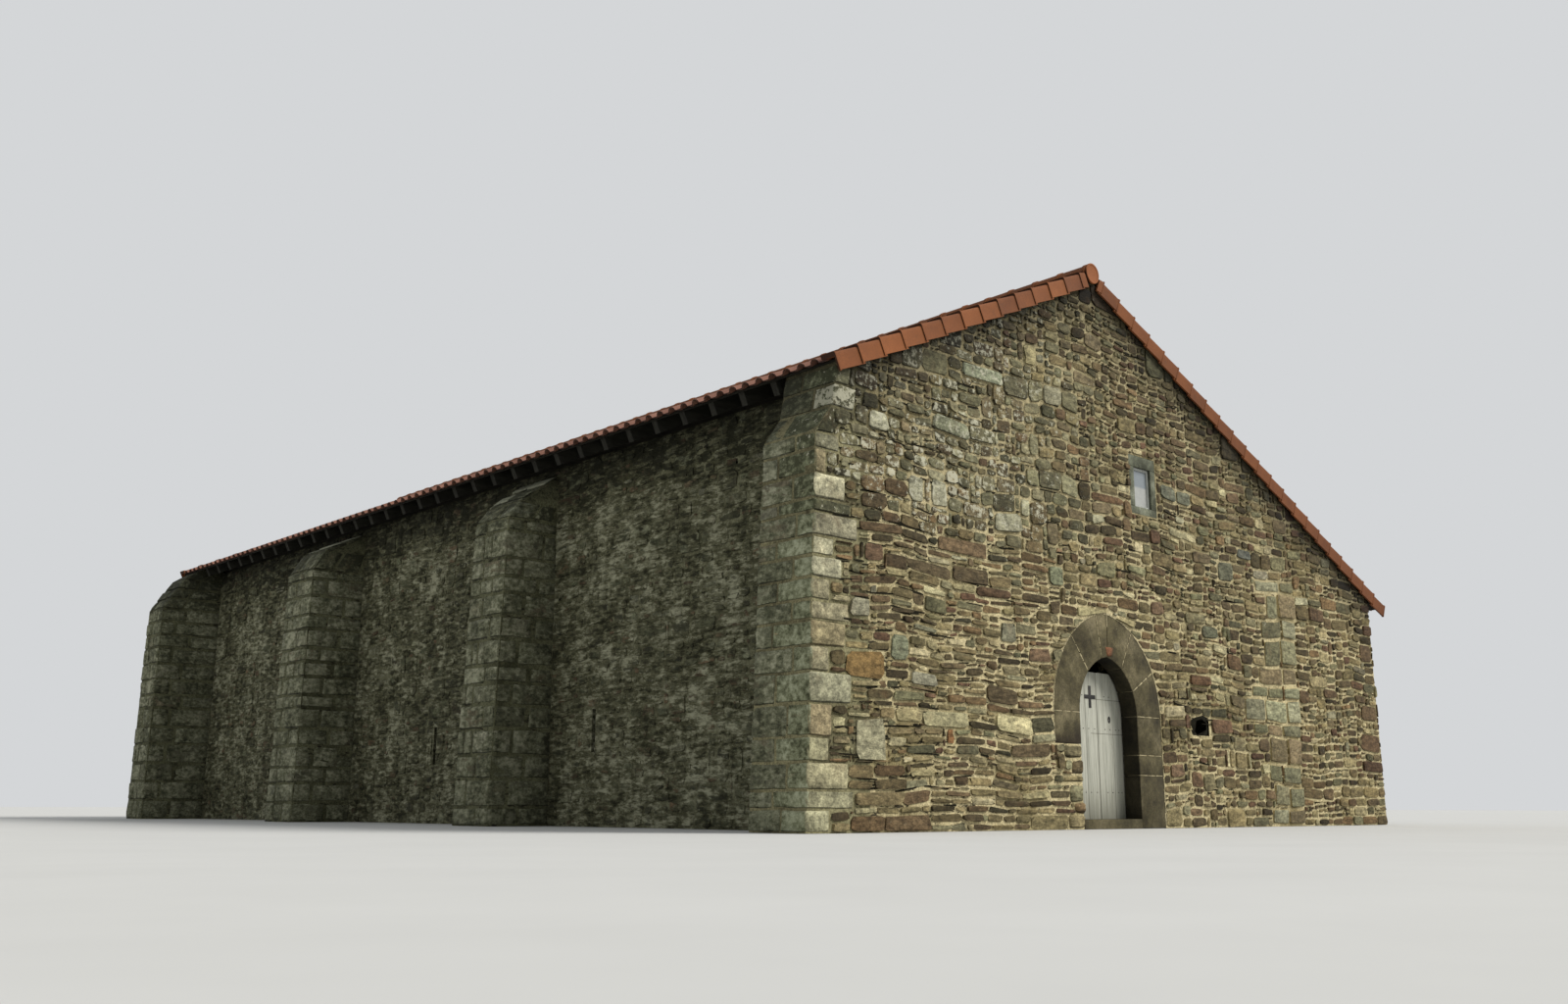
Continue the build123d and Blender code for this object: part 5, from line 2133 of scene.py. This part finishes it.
@dataclass
class Roof:
    """Field tiles, verge tiles, ridge tiles and the boards under them."""

    columns: int = 83
    column: float = 18.16 / 83
    exposure: float = 0.370
    tile_length: float = 0.43
    tile_height: float = 0.134
    cover_radius: float = 0.062
    tile_thickness: float = 0.013
    verge_size: Scale3 = (0.42, 0.2, 0.05)
    verge_flap: float = 0.145
    verge_face: float = 9.270
    verge_height: float = 0.152
    ridge_radius: float = 0.152
    ridge_length: float = 0.40
    ridge_thickness: float = 0.016
    ridge_count: int = 46
    ridge_end: float = 9.255
    ridge_axis: float = 6.877
    board_width: float = 0.125
    board_length: float = 18.49
    board_middle: float = 0.116
    board_thickness: float = 0.028
    seed: int = 53

    def __post_init__(self) -> None:
        """Gets ready to choose the tiles' tones."""
        self.chance = np.random.default_rng(self.seed)

    def tone(self) -> float:
        """Kiln tone of one tile."""
        return float(np.clip(self.chance.normal(0.5, 0.13), 0.0, 1.0))

    def half_pipe(self, name: str, vertices: int, radius: float, depth: float, turn: Scale3) -> Bench:
        """Upper half of a thin pipe, lying down."""
        settings = {"vertices": vertices, "radius": radius, "depth": depth, "rotation": turn}
        return Bench(name, "cylinder", end_fill_type="NOTHING", **settings).bisect((0, 0, 0), (0, 0, 1))

    def field_tile(self) -> Master:
        """Models a clay tile with a round cover on its left and a flat pan on its right.

        Returns:
            The shape.
        """
        bench = self.half_pipe("field_tile", 12, self.cover_radius, self.tile_length, (0, math.pi / 2, 0))
        bench.select("EDGE", lambda middle, way: middle.y > 0.05 and abs(way.x) > 0.9 and middle.z < 0.002)
        bench.extrude((0, 0.03, -0.004), (0, 0.055, 0.0), (0, 0.014, 0.010))
        bench.select("EDGE", lambda middle, way: middle.y < -0.05 and abs(way.x) > 0.9 and middle.z < 0.002)
        bench.extrude((0, -0.045, -0.012))
        return bench.select("VERT").resize((1, 1, 0.74)).thicken(self.tile_thickness).read()

    def fields(self) -> None:
        """Lays the tiles of both slopes in courses from the eave up."""
        tile = self.field_tile()
        for side, word in SIDES:
            heap = Heap()
            length = PLAN.slope_length(side)
            first = -self.column * (self.columns - 1) / 2
            for row in range(math.ceil((length - 0.10) / self.exposure)):
                tail = length - row * self.exposure
                head = max(tail - self.tile_length, 0.03)
                for number in range(self.columns):
                    points = tile.points.copy()
                    share = (points[:, 0] + self.tile_length / 2) / self.tile_length
                    points[:, 0] = head + share * (tail - head) + self.chance.normal(0, 0.003)
                    points[:, 2] += self.tile_height + 0.016 * share
                    points[:, 1] += self.chance.normal(0, 0.0015)
                    y = side * (first + number * self.column)
                    heap.add(tile, PLAN.on_slope(side, points, y), self.tone())
            heap.build(f"tile_rows_{word}", FIELD_CLAY, 45, f"tile_field_{word}")

    def verge_tile(self) -> Master:
        """Models a tile of the roof's edge, with a flap over the gable and a thicker lip at its tail.

        Returns:
            The shape.
        """
        length, width, height = self.verge_size
        bench = Bench("verge_tile", size=(length / 2, width / 2, height / 2), location=(0, width / 2, 0))
        bench.select("VERT")
        bpy.ops.mesh.bisect(plane_co=(0, 0.026, 0), plane_no=(0, 1, 0))
        bench.select("FACE", lambda middle, normal: normal.z < -0.9 and middle.y < 0.026)
        bench.extrude((0, 0, -self.verge_flap))
        bench.select("EDGE", lambda middle, way: middle.z > 0.02 and middle.y < 0.001 and abs(way.x) > 0.9)
        bench.bevel(0.02, 3).select("FACE", lambda middle, normal: normal.x > 0.9)
        bench.extrude((0.001, 0, 0)).resize((1, 1.05, 1.09), (0.211, 0.1, -0.06)).extrude((0.022, 0, 0))
        return bench.wear(0.003, 1).read()

    def verges(self) -> None:
        """Lays the verge tiles of both gables."""
        right_hand = self.verge_tile()
        left_hand = right_hand.mirrored()
        for face, word in ((-1, "front"), (1, "back")):
            heap = Heap()
            for side, _ in SIDES:
                master, outward = (right_hand, 1) if side * face < 0 else (left_hand, -1)
                length = PLAN.slope_length(side)
                for row in range(math.ceil((length - 0.12) / self.exposure)):
                    tail = length - row * self.exposure
                    head = max(tail - self.verge_size[0], 0.10)
                    points = master.points.copy()
                    share = (points[:, 0] + self.verge_size[0] / 2) / 0.441
                    points[:, 0] = head + share * (tail - head)
                    points[:, 2] += self.verge_height + 0.024 * share
                    aside = self.verge_face + 0.008 * share
                    points[:, 1] += -outward * aside + self.chance.normal(0, 0.001)
                    tone = self.tone() * (0.62 if side > 0 else 1.0)
                    heap.add(master, PLAN.on_slope(side, points, 0.0), tone)
            heap.build(f"verge_row_{word}", VERGE_CLAY, 40, f"verge_tiles_{word}")

    def ridge(self) -> None:
        """Lays the half-round ridge tiles, each lapping over the next."""
        bench = self.half_pipe("ridge_tile", 24, self.ridge_radius, self.ridge_length, (math.pi / 2, 0, 0))
        bench.select("EDGE", lambda middle, way: middle.y < -0.19 and abs(way.y) < 0.1)
        bench.extrude((0, -0.002, 0)).resize((1.07, 1, 1.07), (0, -0.2, 0)).extrude((0, -0.055, 0))
        master = bench.thicken(self.ridge_thickness).wear(0.003, 1).read()
        heap = Heap()
        pitch = (2 * self.ridge_end - 0.06) / self.ridge_count
        for number in range(self.ridge_count):
            points = master.points.copy()
            points[:, 1] += -self.ridge_end + 0.26 + pitch * number
            points[:, 1] = np.minimum(points[:, 1], self.ridge_end)
            points[:, 0] += PLAN.x_ridge
            points[:, 2] += self.ridge_axis - 0.006 * self.chance.random()
            heap.add(master, points, self.tone())
        heap.build("ridge_row", VERGE_CLAY, 45, "ridge_tiles")

    def caps(self) -> None:
        """Rounds the discs that close the ends of the ridge."""
        bench = Bench.of_node("ridge_end_caps", "ridge_caps")
        bench.select("FACE", lambda middle, normal: abs(normal.y) > 0.9 and abs(middle.y) > self.verge_face)
        bpy.ops.mesh.inset(thickness=0.022, depth=0.0)
        bpy.ops.mesh.inset(thickness=0.006, depth=-0.006)
        bench.wear(0.005, angle=40).place(CAP_CLAY, 35, "ridge_end_caps")

    def boards(self) -> None:
        """Lays the boards under the tiles, side by side down each slope."""
        bench = Bench("roof_board", size=UNIT)
        board = bench.select("EDGE", lambda middle, way: abs(way.y) > 0.9).bevel(0.04).read()
        for side, word in SIDES:
            heap = Heap()
            length = PLAN.slope_length(side) - 0.06
            count = round(length / self.board_width)
            width = length / count
            for number in range(count):
                points = board.points.copy()
                points[:, 0] = (number + 0.5 + points[:, 0] * 0.97) * width + (0.004 if number == 0 else 0)
                points[:, 1] *= self.board_length
                points[:, 2] = self.board_middle + points[:, 2] * self.board_thickness
                heap.add(board, PLAN.on_slope(side, points, 0.0), self.tone())
            heap.build(f"eave_boards_{word}", BOARD_TIMBER, 0, f"roof_boards_{word}")

    def build(self) -> None:
        """Builds the whole roof."""
        self.fields()
        self.verges()
        self.ridge()
        self.caps()
        self.boards()


def cut_up(start: float, end: float, count: int) -> list[Span]:
    """Cuts a stretch into pieces of equal length."""
    cuts = np.linspace(start, end, count + 1)
    return [(float(low), float(high)) for low, high in zip(cuts[:-1], cuts[1:])]


Bar = tuple[Vector, Vector, float]


@dataclass(frozen=True)
class Doorway:
    """Dressed stones of the doorway and the mortar between them."""

    shapes: StoneShapes
    opening: Span = (0.585, 0.681)
    stones_edge: Span = (1.095, 1.209)
    arch_joints: tuple[int, ...] = (30, 62, 88, 99, 128)
    apex_joint: int = 88
    wide_joints: tuple[int, ...] = (30, 128)
    left_beds: tuple[float, ...] = (1.330,)
    right_beds: tuple[float, ...] = (0.626, 0.865, 1.330)
    line_width: float = 0.024
    joint_width: float = 0.012
    wide_joint: float = 0.018
    bed_width: float = 0.013
    bar_depth: float = 0.21
    bar_middle: float = -9.098
    foot_top: float = 0.958

    def stones(self) -> None:
        """Wears the edges of the jambs, the arch stones and the window's surround round."""
        top = self.foot_top
        for node in ("door_jamb_left", "door_jamb_right", "door_arch"):
            bench = Bench.of_node(node, f"{node}_stones")
            if node == "door_jamb_left":
                bench.remove(lambda middle, normal: middle.z < top or middle.z < 0.97 and normal.z > 0.5)
            bench.wear(0.009).place(ARCH_STONE, 50, node)
        for node in ("window_sill", "window_lintel", "window_jamb_left", "window_jamb_right"):
            Bench.of_node(node, f"{node}_stone").wear(0.007).place(WINDOW_STONE, 50, node)

    @staticmethod
    def reach(angle: float, half_width: float, rise: float) -> float:
        """Distance from the middle of the springing line to a pointed arch.

        Args:
            angle: angle above the springing line in radians.
            half_width: half of the arch's width.
            rise: its height above the springing line.

        Returns:
            The distance.
        """
        radius = (half_width**2 + rise**2) / (2 * half_width)
        shift = (radius - half_width) * (-1 if angle < math.pi / 2 else 1)
        middle = shift * math.cos(angle)
        return middle + math.sqrt(middle**2 - shift**2 + radius**2)

    def arch_bars(self) -> list[Bar]:
        """Joints between the arch stones and the line round them.

        Returns:
            Start, end and width of each bar, from the middle of the springing line.
        """
        bars: list[Bar] = []
        for degrees in self.arch_joints:
            angle = math.radians(degrees)
            way = Vector((math.cos(angle), math.sin(angle)))
            inner, outer = (self.reach(angle, *size) for size in (self.opening, self.stones_edge))
            inner = 1.045 if degrees == self.apex_joint else inner
            width = self.wide_joint if degrees in self.wide_joints else self.joint_width
            for start, end in cut_up(inner + 0.010, outer - 0.004, 4):
                bars.append((way * start, way * end, width))
        outline = []
        for degrees in np.linspace(-0.5, 180.5, 56):
            angle = math.radians(degrees)
            way = Vector((math.cos(angle), math.sin(angle)))
            outline.append(way * (self.reach(angle, *self.stones_edge) + 0.006))
        return bars + [(start, end, self.line_width) for start, end in zip(outline[:-1], outline[1:])]

    def jamb_bars(self) -> list[Bar]:
        """Beds between the blocks of the jambs and the lines beside them.

        Returns:
            Start, end and width of each bar, from the middle of the springing line.
        """
        bars: list[Bar] = []
        for x, beds in ((-self.stones_edge[0], self.left_beds), (self.opening[0], self.right_beds)):
            for bed in beds:
                z = bed - PLAN.springing
                for start, end in cut_up(x + 0.006, x + 0.504, 3):
                    bars.append((Vector((start, z)), Vector((end, z)), self.bed_width))
        for x, foot, count in ((-1.101, -0.37, 3), (1.101, -1.30, 9)):
            for start, end in cut_up(foot, -0.01, count):
                bars.append((Vector((x, start)), Vector((x, end)), self.line_width))
        return bars

    def joints(self) -> None:
        """Fills the joints of the arch and the jambs, and the line round them, with pale mortar."""
        chance = np.random.default_rng(83)
        unit = Bench("joint_bar", size=UNIT).select("EDGE").bevel(0.12).read()
        heap = Heap()
        for start, end, thick in self.arch_bars() + self.jamb_bars():
            way = end - start
            across = way.orthogonal().normalized()
            points = unit.points * (way.length + 0.012, self.bar_depth, thick * chance.uniform(0.75, 1.25))
            middle = (start + end) / 2
            forward = way.normalized()
            x = PLAN.x_door + middle.x + points[:, 0] * forward.x + points[:, 2] * across.x
            z = PLAN.springing + middle.y + points[:, 0] * forward.y + points[:, 2] * across.y
            y = points[:, 1] + self.bar_middle - chance.uniform(-0.002, 0.002)
            shape = unit if forward.x * across.y - forward.y * across.x > 0 else unit.mirrored()
            heap.add(shape, np.stack([x, y, z], axis=1))
        heap.build("doorway_joints", JOINT_MORTAR, 60)

    def jamb_foot(self) -> None:
        """Builds the foot of the left jamb of rough blocks bedded in mortar."""
        top = self.foot_top
        bed = Bench.of_node("door_jamb_left", "jamb_foot_bed")
        bed.remove(lambda middle, normal: middle.z > 0.97 or middle.z > top and normal.z < -0.5)
        bed.select("VERT").resize((0.972, 0.95, 1.0), (-2.365, -9.085, 0.0)).place(GABLE_MORTAR, 50)
        chance = np.random.default_rng(97)
        heap = Heap()
        for low, high, length in JAMB_COURSES:
            x = (-2.104 - length, -2.098)
            y = (-9.222 + chance.uniform(0.0, 0.012), -8.982)
            z = (low + 0.010, high - 0.010)
            block = np.stack(np.meshgrid(x, y, z, indexing="ij"), axis=-1)
            block[:, 0] += chance.normal(0, 0.007, (2, 2, 3))
            master = self.shapes.pick_block(chance)
            set_block(heap, master, block, BROWN_STONES.pick(chance, 0.3), 0.026)
        heap.build("jamb_foot_stones", GABLE_STONE, 50)

    def apex_stone(self) -> None:
        """Sets the small orange stone that closes the joint at the tip of the opening."""
        bench = Bench("apex_stone", size=(0.088, 0.06, 0.058), location=(-1.452, -9.150, 2.084))
        bench.select("VERT", lambda middle, normal: middle.z < 2.05)
        bench.resize((0.45, 1.0, 1.0), (-1.47, -9.15, 2.05))
        bench.select("EDGE", lambda middle, way: middle.y < -9.20).bevel(0.016, 2)
        bench.select("VERT", lambda middle, normal: middle.y < -9.18).roughen(0.008, 9)
        bench.place(ORANGE_STONE, 40)

    def build(self) -> None:
        """Builds the doorway and the window's surround."""
        self.stones()
        self.joints()
        self.jamb_foot()
        self.apex_stone()


@dataclass(frozen=True)
class DoorLeaf:
    """The boarded leaf with its iron."""

    cuts: tuple[float, ...] = (-2.2, -1.905, -1.668, -1.432, -1.330, -1.110, -0.8)
    gap: float = 0.0025
    strip_width: Span = (0.05, 0.12)
    strip_proud: float = 0.005
    nail_heights: tuple[float, ...] = (0.42, 1.17, 1.565)
    nail_places: tuple[float, ...] = (-2.03, -1.96, -1.85, -1.72, -1.61, -1.49, -1.27, -1.17, -1.05, -0.98)
    top_nails: Span = (-1.95, -1.1)
    nail_size: Scale3 = (0.008, 0.004, 0.008)
    nail_face: float = -8.9615
    rivet_places: tuple[float, ...] = (-2.07, -1.92, -1.77, -1.62, -1.45)
    rivet_size: Scale3 = (0.009, -0.005, 0.009)
    rivet_face: float = -8.897

    def boards(self) -> None:
        """Cuts the leaf into upright boards with a narrow cover strip between two of them."""
        pieces = []
        for number, (low, high) in enumerate(zip(self.cuts[:-1], self.cuts[1:])):
            bench = Bench.of_node("door_planks", f"door_board_{number}")
            bench.bisect((low + self.gap, 0, 0), (1, 0, 0), True)
            bench.bisect((high - self.gap, 0, 0), (-1, 0, 0), True)
            if self.strip_width[0] < high - low < self.strip_width[1]:
                front = bench.select("VERT", lambda middle, normal: middle.y < -8.947)
                front.move((0, -self.strip_proud, 0))
            pieces.append(bench.wear(0.005).piece)
        take_up(pieces[0])
        for piece in pieces:
            piece.select_set(True)
        bpy.ops.object.join()
        pieces[0].name = "door_boards"
        settle(pieces[0], DOOR_PAINT, 40, ["door_planks"], Body.DOOR)

    def nails(self) -> None:
        """Drives the nails that hold the boards to the ledges, and the rivets of the straps."""
        bench = Bench("nail_head", "uv_sphere", segments=10, ring_count=6, radius=1.0)
        head = bench.bisect((0, 0, 0), (0, -1, 0), True).read()
        nails, rivets = Heap(), Heap()
        for height in self.nail_heights:
            for x in self.nail_places:
                if height < self.nail_heights[-1] or self.top_nails[0] < x < self.top_nails[1]:
                    nails.add(head, head.points * self.nail_size + (x, self.nail_face, height))
        nails.build("door_nails", BLACK_IRON, 60, body=Body.DOOR)
        turned = head.mirrored()
        for height in self.nail_heights[:2]:
            for x in self.rivet_places:
                rivets.add(turned, head.points * self.rivet_size + (x, self.rivet_face, height))
        rivets.build("strap_rivets", BLACK_IRON, 60, body=Body.DOOR)

    def ironwork(self) -> None:
        """Bevels the forged iron."""
        for node in ("door_iron_cross", "door_escutcheon"):
            bench = Bench.of_node(node, f"{node}_forged").wear(0.0012, angle=40)
            bench.place(BLACK_IRON, 40, node, body=Body.DOOR)

    def build(self) -> None:
        """Builds the leaf."""
        self.boards()
        self.nails()
        self.ironwork()


FRONT_WALLS = "front_wall_left front_wall_right front_wall_over_door front_gable_left front_gable_right"
IRONWORK = "pintle_lower pintle_upper door_strap_lower door_strap_upper"
TILES = "tile_field_left tile_field_right"
BY_FINISH = {
    GABLE_MORTAR: f"{FRONT_WALLS} front_wall_at_window back_wall right_wall",
    SIDE_MORTAR: "left_wall_front slit_bay_front left_wall_middle slit_bay_rear left_wall_rear",
    BLOCK_MORTAR: "buttress_second buttress_third buttress_rear_corner",
    QUOIN_MORTAR: "buttress_front_corner",
    ARCH_STONE: "door_rear_lintel door_threshold door_jamb_left door_jamb_right door_arch",
    WINDOW_STONE: "window_sill window_lintel window_jamb_left window_jamb_right",
    FLOOR: "floor_slab",
    BLACK_IRON: f"{IRONWORK} door_iron_cross door_escutcheon door_lock",
    DOOR_PAINT: "door_planks door_ledges",
    WINDOW_PAINT: "window_frame",
    PANE: "window_glass",
    RAFTER_TIMBER: "rafters_left rafters_right",
    BOARD_TIMBER: "wall_plates ridge_beam purlins roof_boards_left roof_boards_right",
    VERGE_CLAY: f"{TILES} verge_tiles_front verge_tiles_back ridge_tiles ridge_end_caps",
}


def finish_nodes() -> None:
    """Gives every node of the part its material."""
    for finish, names in BY_FINISH.items():
        for name in names.split():
            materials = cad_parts[name].data.materials
            materials.clear()
            materials.append(finish.material())


@dataclass(frozen=True)
class Studio:
    """Floor, light and camera."""

    place: Scale3 = (-15.5804, -18.7698, 0.2439)
    yaw: float = 0.7424
    pitch: float = 0.2184
    roll: float = 0.0023
    lens: float = 31.52
    sensor: float = 36.0
    floor_reach: float = 200.0
    floor_depth: float = 0.003
    sky_seen: str = "d4d6d8"
    sky_colour: str = "eef1f4"
    sky_light: float = 0.55
    sun_light: float = 3.0
    sun_width: float = math.radians(25)
    sun_colour: Scale3 = (1.0, 0.975, 0.93)
    sun_way: Scale3 = (-0.50, 0.62, -0.72)

    def floor(self) -> None:
        """Lays a wide plain floor."""
        size = (self.floor_reach, self.floor_reach, 1.0)
        bench = Bench("studio_floor", "plane", size, location=(0, 0, -self.floor_depth))
        sheet = NodeSheet("studio_floor")
        colour = sheet.ramp(sheet.noise(0.8, 3.0), (0.3, "c9c9c6"), (0.7, "cdcdca"))
        bench.piece.data.materials.append(sheet.finish(colour, 0.9))

    def world(self) -> None:
        """Lights from a pale even sky that camera and reflections see brighter."""
        world = bpy.data.worlds.new("pale_sky")
        bpy.context.scene.world = world
        world.use_nodes = True
        tree = world.node_tree
        tree.nodes.clear()
        rays = add_node(tree, "LightPath").outputs
        bright = rays["Is Camera Ray"]
        for ray in ("Is Glossy Ray", "Is Transmission Ray"):
            bright = add_node(tree, "Math", {0: bright, 1: rays[ray]}, operation="MAXIMUM").outputs[0]
        light = add_node(tree, "Background", {"Color": tint(self.sky_colour), "Strength": self.sky_light})
        seen = add_node(tree, "Background", {"Color": tint(self.sky_seen), "Strength": 1.0})
        mix = add_node(tree, "MixShader", {0: bright, 1: light.outputs[0], 2: seen.outputs[0]})
        add_node(tree, "OutputWorld", {0: mix.outputs[0]})

    def sun(self) -> None:
        """Sets one wide soft light at the front right."""
        lamp = bpy.data.lights.new("soft_sun", "SUN")
        lamp.energy = self.sun_light
        lamp.angle = self.sun_width
        lamp.color = self.sun_colour
        sun = bpy.data.objects.new("soft_sun", lamp)
        sun.rotation_euler = Vector(self.sun_way).to_track_quat("-Z", "Y").to_euler()
        bpy.context.scene.collection.objects.link(sun)

    def camera(self) -> None:
        """Sets the camera where the photograph was taken."""
        level = Vector((math.cos(self.yaw), -math.sin(self.yaw), 0.0))
        onward = Vector((math.sin(self.yaw), math.cos(self.yaw), 0.0))
        ahead = onward * math.cos(self.pitch) + Vector((0.0, 0.0, math.sin(self.pitch)))
        upright = level.cross(ahead)
        right = level * math.cos(self.roll) + upright * math.sin(self.roll)
        up = upright * math.cos(self.roll) - level * math.sin(self.roll)
        lens = bpy.data.cameras.new("photo_camera")
        lens.lens = self.lens
        lens.sensor_width = self.sensor
        lens.clip_end = 2.5 * self.floor_reach
        camera = bpy.data.objects.new("photo_camera", lens)
        turn = Matrix((right, up, -ahead)).transposed().to_4x4()
        camera.matrix_world = Matrix.Translation(self.place) @ turn
        bpy.context.scene.collection.objects.link(camera)
        bpy.context.scene.camera = camera

    def build(self) -> None:
        """Sets the whole studio."""
        self.floor()
        self.world()
        self.sun()
        self.camera()
        bpy.context.scene.view_settings.view_transform = "Standard"


def main() -> None:
    """Builds the chapel's looks in order."""
    logging.basicConfig(level=logging.INFO, format="%(name)s: %(message)s")
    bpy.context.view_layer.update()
    shapes = StoneShapes()
    finish_nodes()
    FrontGable(shapes).build()
    PlainWalls(shapes).build()
    Buttresses(shapes).build()
    Roof().build()
    Doorway(shapes).build()
    DoorLeaf().build()
    Studio().build()


if __name__ == "__main__":
    main()
